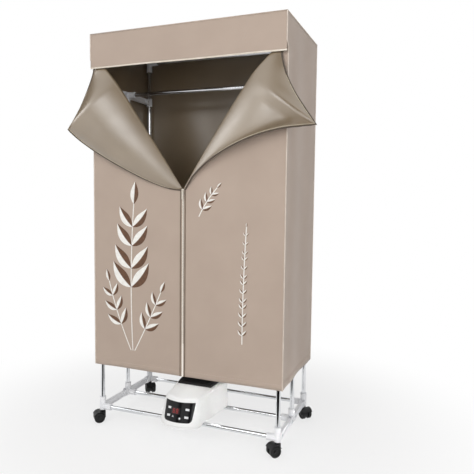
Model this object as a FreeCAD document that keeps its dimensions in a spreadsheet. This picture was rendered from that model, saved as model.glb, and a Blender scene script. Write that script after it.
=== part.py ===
import FreeCAD, Part
import math
import os
import Sketcher

# Folding hot-air clothes dryer: a cloth cover on a tube frame with a heater under it.
# Millimetres, +Z up, front towards -Y, origin on the floor under the middle of the whole.

Vector = FreeCAD.Vector
Rotation = FreeCAD.Rotation
Placement = FreeCAD.Placement

doc = FreeCAD.newDocument("clothes_dryer")
sizes = doc.addObject("Spreadsheet::Sheet", "Sizes")

# Driving sizes in millimetres, angles in degrees
DRIVING = {
    # frame
    "upright_span": 704,  # between the left and right upright axes
    "link_length": 122,  # from pivot to pivot of a folding link
    "outer_pivot_offset": 26,  # from a front or rear upright to its pivot
    "middle_pivot_offset": 24,  # from a middle upright to each of its pivots, past its socket
    "rail_height": 60,  # axis of the low rails and pivots
    "overall_height": 1450,
    "hanger_drop": 180,  # from the top down to the hanger rail and upper pivots
    "tube_radius": 8,
    "tube_wall": 1,
    "joint_radius": 12,  # moulded sockets
    "socket_reach": 38,  # from the crossing of the axes to a socket's mouth
    "seat_rise": 16,  # from the crossing of the axes to a tube's end
    "collar_height": 32,  # hinge bracket on an upright
    # folding links and their pins
    "link_thickness": 12,
    "link_half_height": 11,
    "link_rim": 3,  # edge left round a link's recess
    "link_recess": 3,
    "ear_thickness": 3,
    "ear_gap": 0.3,  # between a link's side and an ear
    "pin_radius": 3,
    "pin_head_radius": 5,
    "pin_head_thickness": 1.6,
    "pin_clearance": 0.08,
    "open_pivot_clearance": 0.3,  # pivot where the loop of links is open
    "fit_gap": 0.05,  # radial gap of a part that sits in a hole
    "seat_gap": 0.3,  # gap between faces that move on each other
    # casters
    "wheel_radius": 20,
    "wheel_width": 13,
    "wheel_dish": 3,  # depth of the hollow in a wheel's outer face
    "wheel_rim": 4,
    "wheel_hub_radius": 6,
    "tread_chamfer": 3,
    "caster_trail": 15,
    "caster_web": 12,
    "caster_web_radius": 15,
    "hood_thickness": 2,
    "hood_clearance": 1,
    "boss_radius": 9,
    "stem_radius": 4,
    "stem_hold": 18,  # length of the stem in the foot and in the hood
    "axle_radius": 2.5,
    "front_caster_angle": 225,
    "rear_caster_angle": 315,
    # cover
    "cover_bottom": 230,
    "cloth": 1.6,
    "cloth_gap": 5,  # between the moulded joints and the cloth
    "valance_drop": 120,
    "valance_gap": 15,  # between the valance and the doors
    "slider_height": 895,  # where the opened corners meet
    "fold_corner_drop": 52,  # from the top to where the fold line meets the cover's edge
    "flap_tip_along": 0.7,  # share of the fold line below the flap's tip
    "flap_width": 250,  # reach of the flap's tip from the fold line
    "flap_fullness": 0.85,  # below 1 the lower edge swells
    "flap_hollow": 1.7,  # above 1 the upper edge is hollow
    "flap_roll_radius": 13,
    "flap_roll_angle": 160,
    "flap_end_angle": 205,
    # zip
    "chain_half_width": 3.3,
    "chain_slit": 1.4,
    "chain_thickness": 2.4,
    "slider_width": 9,
    "slider_length": 12,
    "slider_plate": 1.6,
    "slider_web": 0.8,
    "bail_width": 2.4,
    "bail_reach": 3.6,
    "pull_pin_radius": 0.8,
    "pull_width": 7,
    "pull_length": 26,
    "pull_thickness": 1.2,
    # heater
    "heater_overhang": 72,  # from the front uprights forward to the nose
    "heater_tail": 16,  # from the middle uprights back to the rear wall
    "heater_height": 104,
    "heater_parting": 10,  # height of the base's rim above the bottom
    "front_half_low": 72,
    "front_half_top": 64,
    "rear_half_low": 100,
    "rear_half_top": 94,
    "nose_radius": 110,
    "nose_lean": 34,  # how far the nose falls back from bottom to top
    "top_tilt": 4,
    "front_corner_radius": 26,
    "rear_corner_radius": 18,
    "top_round": 13,
    "heater_wall": 2.6,
    "lip_depth": 11,
    "panel_height": 64,
    "panel_rise": 12,  # from the bottom to the panel's lower edge
    "panel_half_low": 54,
    "panel_half_top": 58,
    "panel_corner_radius": 12,
    "panel_recess": 1.5,
    "panel_proud": 0.6,
    "panel_gap": 0.2,
    "key_width": 13,
    "key_height": 7,
    "key_offset_x": 35,
    "key_offset_up": 13,
    "key_gap": 0.3,
    "key_proud": 1.2,
    "key_travel": 1,
    "board_setback": 34,  # from the nose back to the board's face
    "post_gap": 1,  # between a key and the peg beside it
    "board_height": 58,
    "board_thickness": 1.6,
    "grille_front_half": 67,
    "grille_rear_half": 80,
    "grille_length": 98,
    "grille_setback": 12,  # from the rear wall to the grille's rear edge
    "grille_height": 7,
    "grille_rim": 8,
    "grille_slot": 4.5,
    "grille_pitch": 7.5,
    "grille_slots": 16,
    "fan_setback": 62,  # from the rear wall to the fan's axis
    "fan_radius": 44,
    "fan_height": 15,
    "fan_blades": 9,
    "hub_radius": 14,
    "motor_radius": 20,
    "motor_height": 24,
    "shaft_radius": 2.5,
    "element_width": 108,
    "element_length": 84,
    "element_height": 22,
    "element_flange": 14,
    "element_plate": 4,
    "element_slots": 13,
    "element_slot": 4,
    "element_drop": 22,  # from the shell's top down to the element
    "gland_offset": 60,
    "gland_height": 52,  # above the heater's bottom
    "gland_radius": 6,
    "gland_flange_radius": 9,
    "gland_flange": 2,
    "lead_radius": 3.6,
    "screw_radius": 1.6,
    "screw_head_radius": 3.2,
    "screw_length": 24,
    "boss_wall": 3,
    "vent_slots": 5,
    "vent_width": 4,
    "vent_length": 60,
}
for row, (alias, number) in enumerate(DRIVING.items(), start=1):
    sizes.set(f"A{row}", alias)
    sizes.set(f"B{row}", str(number))
    sizes.setAlias(f"B{row}", alias)
doc.recompute()

# Places worked out from the driving sizes
UPRIGHT_X = "(Sizes.upright_span / 2)"
HALF_DEPTH = "(Sizes.link_length + Sizes.outer_pivot_offset + Sizes.middle_pivot_offset)"
COVER_X = f"({UPRIGHT_X} + Sizes.joint_radius + Sizes.cloth_gap)"
COVER_Y = f"({HALF_DEPTH} + Sizes.joint_radius + Sizes.cloth_gap)"
MIDDLE_Y = f"(({HALF_DEPTH} + Sizes.heater_overhang - {COVER_Y} - Sizes.cloth) / 2)"
FRONT_Y = f"({MIDDLE_Y} - {HALF_DEPTH})"
REAR_Y = f"({MIDDLE_Y} + {HALF_DEPTH})"
RAIL_Z = "Sizes.rail_height"
HANGER_Z = "(Sizes.overall_height - Sizes.hanger_drop)"
ROOF_Z = "(Sizes.overall_height - Sizes.cloth)"
TOP_RAIL_Z = f"({ROOF_Z} - Sizes.seat_gap - Sizes.joint_radius)"
FOOT_BOTTOM = f"({RAIL_Z} - Sizes.joint_radius)"
VALANCE_Z = "(Sizes.overall_height - Sizes.valance_drop)"
FOLD_CORNER_Z = "(Sizes.overall_height - Sizes.fold_corner_drop)"
COVER_EDGE_X = f"({COVER_X} + Sizes.cloth)"
DOOR_BACK_Y = f"({MIDDLE_Y} - {COVER_Y})"
DOOR_FRONT_Y = f"({DOOR_BACK_Y} - Sizes.cloth)"
COVER_BACK_Y = f"({MIDDLE_Y} + {COVER_Y})"
EAR_NEAR = "(Sizes.link_thickness / 2 + Sizes.ear_gap)"
EAR_FAR = f"({EAR_NEAR} + Sizes.ear_thickness)"

ALONG = {
    "x": Rotation(Vector(0, 1, 0), 90),
    "y": Rotation(Vector(1, 0, 0), -90),
    "z": Rotation(),
}
SIDES = {"left": -1, "right": 1}
FLAP_CUTS_ABOVE = (0.1, 0.4, 0.7)  # cuts of an opened corner, counted from its ends to its tip
FLAP_CUTS_BELOW = (1, 0.75, 0.5, 0.25, 0.05)
nodes = []


# Small helpers

def value(expression):
    return float(sizes.evalExpression(expression))


def place(thing, x, y, z):
    thing.setExpression("Placement.Base.x", x)
    thing.setExpression("Placement.Base.y", y)
    thing.setExpression("Placement.Base.z", z)


def turn(thing, angle):
    thing.Placement = Placement(Vector(), Rotation(Vector(0, 0, 1), 1))
    thing.setExpression("Placement.Rotation.Angle", f"{angle} * 1 deg")


def span(side, near, far, base="0"):
    # start and length of a stretch that runs from near to far on one side of base
    start = f"({base} + {near})" if side > 0 else f"({base} - ({far}))"
    return start, f"({far} - ({near}))"


def rod(radius, length, x, y, z, along):
    thing = doc.addObject("Part::Cylinder", "rod")
    thing.Placement = Placement(Vector(), ALONG[along])
    thing.setExpression("Radius", radius)
    thing.setExpression("Height", length)
    place(thing, x, y, z)
    return thing


def block(x, y, z, width, depth, height):
    thing = doc.addObject("Part::Box", "block")
    thing.setExpression("Length", width)
    thing.setExpression("Width", depth)
    thing.setExpression("Height", height)
    place(thing, x, y, z)
    return thing


def joined(pieces):
    if len(pieces) == 1:
        return pieces[0]
    thing = doc.addObject("Part::MultiFuse", "joined")
    thing.Shapes = pieces
    return thing


def cut(base, tools):
    thing = doc.addObject("Part::Cut", "cut")
    thing.Base = base
    thing.Tool = joined(tools)
    return thing


def group(pieces):
    thing = doc.addObject("Part::Compound", "group")
    thing.Links = pieces
    return thing


def name_node(label, thing):
    thing.Label = label
    nodes.append(thing)
    return thing


def shaped(label, shape):
    # a piece whose form comes from Part functions
    thing = doc.addObject("Part::Feature", label)
    thing.Shape = shape
    return name_node(label, thing)


def new_sketch(body, role, name):
    sketch = body.newObject("Sketcher::SketchObject", name)
    plane = next(item for item in body.Origin.OriginFeatures if item.Role == role)
    sketch.AttachmentSupport = [(plane, "")]
    sketch.MapMode = "FlatFace"
    return sketch


def hold_point(sketch, edge, end, x, y):
    for kind, expression in (("DistanceX", x), ("DistanceY", y)):
        fixed = sketch.addConstraint(Sketcher.Constraint(kind, -1, 1, edge, end, value(expression)))
        sketch.setExpression(f"Constraints[{fixed}]", expression)


def draw_polygon(sketch, points):
    corners = [Vector(value(x), value(y), 0) for x, y in points]
    first = sketch.GeometryCount
    count = len(points)
    for index in range(count):
        sketch.addGeometry(Part.LineSegment(corners[index], corners[(index + 1) % count]))
    for index in range(count):
        following = first + (index + 1) % count
        sketch.addConstraint(Sketcher.Constraint("Coincident", first + index, 2, following, 1))
    for index, (x, y) in enumerate(points):
        hold_point(sketch, first + index, 1, x, y)


def draw_circle(sketch, radius):
    edge = sketch.addGeometry(Part.Circle(Vector(), Vector(0, 0, 1), value(radius)))
    sketch.addConstraint(Sketcher.Constraint("Coincident", edge, 3, -1, 1))
    fixed = sketch.addConstraint(Sketcher.Constraint("Radius", edge, value(radius)))
    sketch.setExpression(f"Constraints[{fixed}]", radius)


def feature(body, kind, name, sketch, length):
    thing = body.newObject(f"PartDesign::{kind}", name)
    thing.Profile = sketch
    thing.setExpression("Length", length)
    return thing


def pattern(body, kind, original, axis, count):
    thing = body.newObject(f"PartDesign::{kind}", "pattern")
    thing.Originals = [original]
    if kind == "PolarPattern":
        thing.Axis = axis
        thing.Angle = 360
    else:
        thing.Direction = axis
    thing.setExpression("Occurrences", count)
    body.Tip = thing
    return thing


# Tube frame

def tube(length, x, y, z, along):
    bore = rod("(Sizes.tube_radius - Sizes.tube_wall)", length, x, y, z, along)
    return cut(rod("Sizes.tube_radius", length, x, y, z, along), [bore])


def uprights(label, y, bottom, top):
    start = f"({bottom} + Sizes.seat_rise)"
    length = f"({top} - {bottom} - 2 * Sizes.seat_rise)"
    tubes = [tube(length, f"({side} * {UPRIGHT_X})", y, start, "z") for side in SIDES.values()]
    name_node(label, group(tubes))


def rail(y, z):
    half = f"({UPRIGHT_X} - Sizes.seat_rise)"
    return tube(f"(2 * {half})", f"(-{half})", y, z, "x")


def tube_bore(length, x, y, z, along):
    return rod("(Sizes.tube_radius + Sizes.fit_gap)", length, x, y, z, along)


def rail_socket(side, y, z, outer):
    start, length = span(side, f"({UPRIGHT_X} - Sizes.socket_reach)", outer)
    return rod("Sizes.joint_radius", length, start, y, z, "x")


def rail_bore(side, y, z):
    start, length = span(side, f"({UPRIGHT_X} - Sizes.socket_reach)", f"({UPRIGHT_X} - Sizes.seat_rise)")
    return tube_bore(length, start, y, z, "x")


def upright_bore(side, y, z, up):
    start, length = span(up, "Sizes.seat_rise", "Sizes.socket_reach", z)
    return tube_bore(length, f"({side} * {UPRIGHT_X})", y, start, "z")


def ears(side, inward, y, z):
    # two plates with round ends that hold a link between them
    plates = []
    pivot = f"({y} + {inward} * Sizes.outer_pivot_offset)"
    start, length = span(inward, "0", "Sizes.outer_pivot_offset", y)
    low = f"({z} - Sizes.link_half_height)"
    for ear in SIDES.values():
        x, width = span(ear, EAR_NEAR, EAR_FAR, f"({side} * {UPRIGHT_X})")
        plates.append(block(x, start, low, width, length, "(2 * Sizes.link_half_height)"))
        plates.append(rod("Sizes.link_half_height", width, x, pivot, z, "x"))
    return plates


def pin_hole(side, y, z):
    start = f"({side} * {UPRIGHT_X} - {EAR_FAR})"
    return rod("(Sizes.pin_radius + Sizes.fit_gap)", f"(2 * {EAR_FAR})", start, y, z, "x")


def pin(side, y, z):
    # a rivet with its head on the outer side
    start = f"({side} * {UPRIGHT_X} - {EAR_FAR})"
    shank = rod("Sizes.pin_radius", f"(2 * {EAR_FAR})", start, y, z, "x")
    head_far = f"({EAR_FAR} + Sizes.pin_head_thickness)"
    head_start, thickness = span(side, EAR_FAR, head_far, f"({side} * {UPRIGHT_X})")
    return joined([shank, rod("Sizes.pin_head_radius", thickness, head_start, y, z, "x")])


def corner_joint(side, y, z, up):
    # a vertical socket and a rail socket that meet at the crossing of the tubes' axes
    start, length = span(up, "(-Sizes.joint_radius)", "Sizes.socket_reach", z)
    socket = rod("Sizes.joint_radius", length, f"({side} * {UPRIGHT_X})", y, start, "z")
    solids = [socket, rail_socket(side, y, z, UPRIGHT_X)]
    return solids, [upright_bore(side, y, z, up), rail_bore(side, y, z)]


def foot(side, inward, y):
    solids, bores = corner_joint(side, y, RAIL_Z, 1)
    solids += ears(side, inward, y, RAIL_Z)
    bores.append(pin_hole(side, f"({y} + {inward} * Sizes.outer_pivot_offset)", RAIL_Z))
    stem = "(Sizes.stem_radius + Sizes.fit_gap)"
    bores.append(rod(stem, "Sizes.stem_hold", f"({side} * {UPRIGHT_X})", y, FOOT_BOTTOM, "z"))
    return cut(joined(solids), bores)


def head(side, y):
    solids, bores = corner_joint(side, y, TOP_RAIL_Z, -1)
    return cut(joined(solids), bores)


def hinge_bracket(side, inward, y):
    x = f"({side} * {UPRIGHT_X})"
    low = f"({HANGER_Z} - Sizes.collar_height / 2)"
    solids = [rod("Sizes.joint_radius", "Sizes.collar_height", x, y, low, "z")]
    solids += ears(side, inward, y, HANGER_Z)
    bores = [tube_bore("Sizes.collar_height", x, y, low, "z")]
    bores.append(pin_hole(side, f"({y} + {inward} * Sizes.outer_pivot_offset)", HANGER_Z))
    return cut(joined(solids), bores)


def middle_joint(side, z, up):
    # two cheeks with a pivot each, an upright socket and a rail socket
    x = f"({side} * {UPRIGHT_X})"
    over_links = "(Sizes.link_half_height + Sizes.ear_gap)"
    start, length = span(up, over_links, "Sizes.socket_reach", z)
    solids = [rod("Sizes.joint_radius", length, x, MIDDLE_Y, start, "z")]
    solids.append(rail_socket(side, MIDDLE_Y, z, f"({UPRIGHT_X} - {EAR_NEAR})"))
    bores = [upright_bore(side, MIDDLE_Y, z, up), rail_bore(side, MIDDLE_Y, z)]
    cheek_start, cheek_height = span(up, "(-Sizes.link_half_height)", "Sizes.seat_rise", z)
    cheek_y = f"({MIDDLE_Y} - Sizes.middle_pivot_offset)"
    for ear in SIDES.values():
        ear_x, width = span(ear, EAR_NEAR, EAR_FAR, x)
        depth = "(2 * Sizes.middle_pivot_offset)"
        solids.append(block(ear_x, cheek_y, cheek_start, width, depth, cheek_height))
        for way in SIDES.values():
            pivot = f"({MIDDLE_Y} + {way} * Sizes.middle_pivot_offset)"
            solids.append(rod("Sizes.link_half_height", width, ear_x, pivot, z, "x"))
    for way in SIDES.values():
        bores.append(pin_hole(side, f"({MIDDLE_Y} + {way} * Sizes.middle_pivot_offset)", z))
    return cut(joined(solids), bores)


def outer_frame(name, y, inward):
    pivot = f"({y} + {inward} * Sizes.outer_pivot_offset)"
    uprights(f"{name}_uprights", y, RAIL_Z, TOP_RAIL_Z)
    name_node(f"{name}_rails", group([rail(y, RAIL_Z), rail(y, TOP_RAIL_Z)]))
    name_node(f"{name}_feet", group([foot(side, inward, y) for side in SIDES.values()]))
    name_node(f"{name}_heads", group([head(side, y) for side in SIDES.values()]))
    brackets = [hinge_bracket(side, inward, y) for side in SIDES.values()]
    name_node(f"{name}_hinge_brackets", group(brackets))
    pins = [pin(side, pivot, z) for side in SIDES.values() for z in (RAIL_Z, HANGER_Z)]
    name_node(f"{name}_hinge_pins", group(pins))


def middle_frame():
    uprights("middle_uprights", MIDDLE_Y, RAIL_Z, HANGER_Z)
    name_node("middle_rail", rail(MIDDLE_Y, RAIL_Z))
    name_node("hanger_rail", rail(MIDDLE_Y, HANGER_Z))
    name_node("middle_feet", group([middle_joint(side, RAIL_Z, 1) for side in SIDES.values()]))
    name_node("middle_heads", group([middle_joint(side, HANGER_Z, -1) for side in SIDES.values()]))
    pins = []
    for side in SIDES.values():
        for z in (RAIL_Z, HANGER_Z):
            for way in SIDES.values():
                pins.append(pin(side, f"({MIDDLE_Y} + {way} * Sizes.middle_pivot_offset)", z))
    name_node("middle_hinge_pins", group(pins))


def link(side, start, z, start_gap, end_gap):
    # a flat bar with round ends, a hole at each end and a recess in both faces
    x = f"({side} * {UPRIGHT_X} - Sizes.link_thickness / 2)"
    end = f"({start} + Sizes.link_length)"
    low = f"({z} - Sizes.link_half_height)"
    height = "(2 * Sizes.link_half_height)"
    bar = [block(x, start, low, "Sizes.link_thickness", "Sizes.link_length", height)]
    holes = []
    for y, gap in ((start, start_gap), (end, end_gap)):
        bar.append(rod("Sizes.link_half_height", "Sizes.link_thickness", x, y, z, "x"))
        holes.append(rod(f"(Sizes.pin_radius + {gap})", "Sizes.link_thickness", x, y, z, "x"))
    recess_length = "(Sizes.link_length - 2 * Sizes.link_half_height)"
    recess_height = "(2 * Sizes.link_half_height - 2 * Sizes.link_rim)"
    for face in (x, f"({x} + Sizes.link_thickness - Sizes.link_recess)"):
        holes.append(block(face, f"({start} + Sizes.link_half_height)", f"({low} + Sizes.link_rim)",
                           "Sizes.link_recess", recess_length, recess_height))
    return cut(joined(bar), holes)


def folding_links():
    front = f"({FRONT_Y} + Sizes.outer_pivot_offset)"
    rear = f"({MIDDLE_Y} + Sizes.middle_pivot_offset)"
    snug = "Sizes.pin_clearance"
    loose = "Sizes.open_pivot_clearance"
    for name, start in (("front", front), ("rear", rear)):
        for level, z, far in (("lower", RAIL_Z, snug), ("upper", HANGER_Z, loose)):
            pair = [link(side, start, z, snug, far) for side in SIDES.values()]
            name_node(f"{name}_{level}_links", group(pair))


# Casters, drawn with the swivel axis at the origin and the trail along X

def caster_hood():
    half_web = "(Sizes.caster_web / 2)"
    half_width = f"({half_web} + Sizes.hood_clearance + Sizes.wheel_width)"
    inner = "(Sizes.wheel_radius + Sizes.hood_clearance)"
    outer = f"({inner} + Sizes.hood_thickness)"
    top = f"({FOOT_BOTTOM} - Sizes.seat_gap)"
    trail = "Sizes.caster_trail"
    axle_z = "Sizes.wheel_radius"
    ring = cut(rod(outer, f"(2 * {half_width})", trail, f"(-{half_width})", axle_z, "y"),
               [rod(inner, f"(2 * {half_width})", trail, f"(-{half_width})", axle_z, "y"),
                block(f"({trail} - {outer})", f"(-{half_width})", f"({axle_z} - {outer})",
                      f"(2 * {outer})", f"(2 * {half_width})", f"({outer} + Sizes.wheel_radius / 2)")])
    web = rod("Sizes.caster_web_radius", "Sizes.caster_web", trail, f"(-{half_web})", axle_z, "y")
    arm_low = "(Sizes.wheel_radius * 0.75)"
    arm = block("(-Sizes.boss_radius)", f"(-{half_web})", arm_low, f"({trail} + Sizes.boss_radius)",
                "Sizes.caster_web", f"({axle_z} + {outer} - {arm_low} - Sizes.hood_thickness / 2)")
    boss_low = f"({axle_z} + {inner})"
    boss = rod("Sizes.boss_radius", f"({top} - {boss_low})", "0", "0", boss_low, "z")
    stem = rod("(Sizes.stem_radius + Sizes.fit_gap)", "Sizes.stem_hold", "0", "0",
               f"({top} - Sizes.stem_hold)", "z")
    axle_bore = "(Sizes.axle_radius + Sizes.fit_gap)"
    axle = rod(axle_bore, "Sizes.caster_web", trail, f"(-{half_web})", axle_z, "y")
    return cut(joined([ring, web, arm, boss]), [stem, axle])


def caster_pins():
    half_width = "(Sizes.caster_web / 2 + Sizes.hood_clearance + Sizes.wheel_width)"
    low = f"({FOOT_BOTTOM} - Sizes.seat_gap - Sizes.stem_hold)"
    stem = rod("Sizes.stem_radius", "(2 * Sizes.stem_hold)", "0", "0", low, "z")
    axle = rod("Sizes.axle_radius", f"(2 * {half_width})", "Sizes.caster_trail", f"(-{half_width})",
               "Sizes.wheel_radius", "y")
    return group([stem, axle])


def caster_wheel(side):
    # half section turned round the axle: flat inner face, dished outer face, chamfered tread
    body = doc.addObject("PartDesign::Body", "wheel")
    sketch = new_sketch(body, "XY_Plane", "half_section")
    bore = "(Sizes.axle_radius + Sizes.pin_clearance)"
    near = f"({side} * (Sizes.caster_web / 2 + Sizes.hood_clearance))"
    far = f"({near} + {side} * Sizes.wheel_width)"
    dish = f"({far} - {side} * Sizes.wheel_dish)"
    shoulder = f"({far} - {side} * Sizes.tread_chamfer)"
    rim = "(Sizes.wheel_radius - Sizes.wheel_rim)"
    draw_polygon(sketch, [
        (bore, near), ("Sizes.wheel_radius", near), ("Sizes.wheel_radius", shoulder),
        ("(Sizes.wheel_radius - Sizes.tread_chamfer)", far), (rim, far), (rim, dish),
        ("Sizes.wheel_hub_radius", dish), ("Sizes.wheel_hub_radius", far), (bore, far)])
    wheel = body.newObject("PartDesign::Revolution", "turned")
    wheel.Profile = sketch
    wheel.ReferenceAxis = (sketch, ["V_Axis"])
    wheel.Angle = 360
    place(body, "Sizes.caster_trail", "0", "Sizes.wheel_radius")
    return body


def caster(name, side, y, angle):
    wheels = group([caster_wheel(way) for way in SIDES.values()])
    for piece, thing in (("hood", caster_hood()), ("pins", caster_pins()), ("wheels", wheels)):
        turn(thing, angle)
        place(thing, f"({side} * {UPRIGHT_X})", y, "0")
        name_node(f"caster_{name}_{piece}", thing)


def casters():
    rows = (("front", FRONT_Y, "Sizes.front_caster_angle"), ("rear", REAR_Y, "Sizes.rear_caster_angle"))
    for row_name, y, angle in rows:
        for side_name, side in SIDES.items():
            caster(f"{row_name}_{side_name}", side, y, angle)


# Cover

def cover_panels():
    height = f"({ROOF_Z} - Sizes.cover_bottom)"
    valance_back = f"({DOOR_FRONT_Y} - Sizes.valance_gap)"
    valance_front = f"({valance_back} - Sizes.cloth)"
    full_width = f"(2 * {COVER_EDGE_X})"
    left = f"(-{COVER_EDGE_X})"
    roof_depth = f"({COVER_BACK_Y} + Sizes.cloth - {valance_front})"
    name_node("cover_roof", block(left, valance_front, ROOF_Z, full_width, roof_depth, "Sizes.cloth"))
    back = block(left, COVER_BACK_Y, "Sizes.cover_bottom", full_width, "Sizes.cloth", height)
    name_node("cover_back", back)
    name_node("cover_valance", block(left, valance_front, VALANCE_Z, full_width, "Sizes.cloth",
                                     f"({ROOF_Z} - {VALANCE_Z})"))
    for name, side in SIDES.items():
        x, width = span(side, COVER_X, COVER_EDGE_X)
        panel = block(x, DOOR_BACK_Y, "Sizes.cover_bottom", width, f"(2 * {COVER_Y})", height)
        name_node(f"cover_{name}_side", panel)


def door_panel(side):
    # the closed part of a door, bounded above by the fold line of its opened corner
    body = doc.addObject("PartDesign::Body", "door_panel")
    sketch = new_sketch(body, "XZ_Plane", "door_outline")
    edge = f"({side} * {COVER_EDGE_X})"
    zip_edge = f"({side} * Sizes.chain_half_width)"
    draw_polygon(sketch, [(edge, "Sizes.cover_bottom"), (zip_edge, "Sizes.cover_bottom"),
                          (zip_edge, "Sizes.slider_height"), (edge, FOLD_CORNER_Z)])
    feature(body, "Pad", "cloth", sketch, "Sizes.cloth")
    place(body, "0", DOOR_BACK_Y, "0")
    return body


def flap_section(fold_point, outward, width_scale):
    # one cut across the opened corner: a tight roll that runs on into a wide crown
    cloth = value("Sizes.cloth")
    roll = value("Sizes.flap_roll_radius") * width_scale
    first = math.radians(value("Sizes.flap_roll_angle"))
    last = math.radians(value("Sizes.flap_end_angle"))
    reach = value("Sizes.flap_width") * width_scale
    crown = (reach + roll * math.sin(first)) / (math.sin(first) - math.sin(last))
    forward = Vector(0, -1, 0)
    roll_centre = Vector(0, roll, 0)
    crown_centre = roll_centre + Vector(math.sin(first), -math.cos(first), 0) * (roll - crown)

    def on_arc(centre, radius, angle):
        flat = centre + Vector(math.sin(angle), -math.cos(angle), 0) * radius
        return fold_point - outward * flat.x + forward * flat.y

    def arc(centre, radius, start, end):
        middle = (start + end) / 2
        points = [on_arc(centre, radius, angle) for angle in (start, middle, end)]
        return Part.Arc(*points).toShape()

    inner = [arc(roll_centre, roll, 0, first), arc(crown_centre, crown, first, last)]
    outer = [arc(crown_centre, crown + cloth, last, first), arc(roll_centre, roll + cloth, first, 0)]
    tip = Part.makeLine(on_arc(crown_centre, crown, last), on_arc(crown_centre, crown + cloth, last))
    root = Part.makeLine(on_arc(roll_centre, roll + cloth, 0), on_arc(roll_centre, roll, 0))
    return Part.Wire(inner + [tip] + outer + [root])


def door_flap(side):
    # the opened corner of a door, lofted through cuts along the fold line
    front = value(DOOR_FRONT_Y)
    low = Vector(side * value("Sizes.chain_half_width"), front, value("Sizes.slider_height"))
    high = Vector(side * value(COVER_EDGE_X), front, value(FOLD_CORNER_Z))
    fold = high - low
    outward = Vector(side * fold.z, 0, -side * fold.x) / fold.Length
    tip = value("Sizes.flap_tip_along")
    fullness = value("Sizes.flap_fullness")
    hollow = value("Sizes.flap_hollow")
    cuts = []
    for fraction in FLAP_CUTS_ABOVE:
        cuts.append((1 - (1 - tip) * fraction, fraction ** hollow))
    for fraction in FLAP_CUTS_BELOW:
        cuts.append((tip * fraction, fraction ** fullness))
    wires = [flap_section(low + fold * share, outward, scale) for share, scale in cuts]
    flap = doc.addObject("Part::Feature", "door_flap")
    flap.Shape = Part.makeLoft(wires, True, True)
    return flap


def doors():
    for name, side in SIDES.items():
        name_node(f"cover_{name}_door", group([door_panel(side), door_flap(side)]))


def zip_parts():
    half_slit = "(Sizes.chain_slit / 2)"
    row_width = f"(Sizes.chain_half_width - {half_slit})"
    chain_mid = f"({DOOR_FRONT_Y} + Sizes.cloth / 2)"
    chain_front = f"({chain_mid} - Sizes.chain_thickness / 2)"
    chain_back = f"({chain_mid} + Sizes.chain_thickness / 2)"
    chain_top = "(Sizes.slider_height - Sizes.slider_plate)"
    rows = []
    for side in SIDES.values():
        x, width = span(side, half_slit, "Sizes.chain_half_width")
        rows.append(block(x, chain_front, "Sizes.cover_bottom", width, "Sizes.chain_thickness",
                          f"({chain_top} - Sizes.cover_bottom)"))
    name_node("zip_chain", group(rows))

    # slider: a plate on each side of the chain, a web in the slit and a bail in front
    low = "(Sizes.slider_height - Sizes.slider_length)"
    left = "(-Sizes.slider_width / 2)"
    front_face = f"({chain_front} - Sizes.seat_gap - Sizes.slider_plate)"
    back_face = f"({chain_back} + Sizes.seat_gap)"
    plates = []
    for face in (front_face, back_face):
        plates.append(block(left, face, low, "Sizes.slider_width", "Sizes.slider_plate",
                            "Sizes.slider_length"))
    web = block("(-Sizes.slider_web / 2)", front_face, low, "Sizes.slider_web",
                f"({back_face} + Sizes.slider_plate - {front_face})", "Sizes.slider_length")
    pivot_y = f"({front_face} - Sizes.bail_reach / 2)"
    pivot_z = "(Sizes.slider_height - Sizes.slider_length / 2)"
    bail = block("(-Sizes.bail_width / 2)", f"({front_face} - Sizes.bail_reach)",
                 f"({pivot_z} - Sizes.bail_reach / 2)", "Sizes.bail_width", "Sizes.bail_reach",
                 "Sizes.bail_reach")
    bail_hole = rod("(Sizes.pull_pin_radius + Sizes.pin_clearance)", "Sizes.bail_width",
                    "(-Sizes.bail_width / 2)", pivot_y, pivot_z, "x")
    name_node("zip_slider", cut(joined(plates + [web, bail]), [bail_hole]))

    # pull: a tab with two arms and a pin through the bail
    half_pull = "(Sizes.pull_width / 2)"
    tab_y = f"({pivot_y} - Sizes.pull_thickness / 2)"
    tab_top = f"({pivot_z} - Sizes.bail_reach)"
    pieces = [block(f"(-{half_pull})", tab_y, f"({tab_top} - Sizes.pull_length)", "Sizes.pull_width",
                    "Sizes.pull_thickness", "Sizes.pull_length")]
    for side in SIDES.values():
        x, width = span(side, "(Sizes.bail_width / 2 + Sizes.seat_gap)", half_pull)
        pieces.append(block(x, tab_y, tab_top, width, "Sizes.pull_thickness", f"({pivot_z} - {tab_top})"))
    pieces.append(rod("Sizes.pull_pin_radius", "Sizes.pull_width", f"(-{half_pull})", pivot_y,
                      pivot_z, "x"))
    name_node("zip_pull", joined(pieces))


# Heater

HEATER_BOTTOM = f"({RAIL_Z} + Sizes.tube_radius + Sizes.seat_gap)"
HEATER_REAR = f"({MIDDLE_Y} + Sizes.heater_tail)"
HEATER_NOSE = f"({FRONT_Y} - Sizes.heater_overhang)"
FAN_Y = f"({HEATER_REAR} - Sizes.fan_setback)"
FLOOR_Z = f"({HEATER_BOTTOM} + Sizes.heater_wall)"
GLAND_Z = f"({HEATER_BOTTOM} + Sizes.gland_height)"
ELEMENT_TOP = f"({HEATER_BOTTOM} + Sizes.heater_height - Sizes.element_drop)"
POST_X = "(Sizes.key_offset_x + Sizes.key_width / 2 + Sizes.post_gap + Sizes.boss_wall)"
BOARD_WIDTH = f"(2 * ({POST_X} + Sizes.boss_wall))"
heater_low = value(HEATER_BOTTOM)
heater_height = value("Sizes.heater_height")
heater_rear = value(HEATER_REAR)
heater_wall = value("Sizes.heater_wall")
tilt = math.radians(value("Sizes.top_tilt"))
top_length = heater_rear - value(HEATER_NOSE) - value("Sizes.nose_lean")
lean = math.atan2(value("Sizes.nose_lean"), heater_height - top_length * math.sin(tilt))
press = Vector(0, math.cos(lean), -math.sin(lean))
panel_up = Vector(0, math.sin(lean), math.cos(lean))
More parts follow.
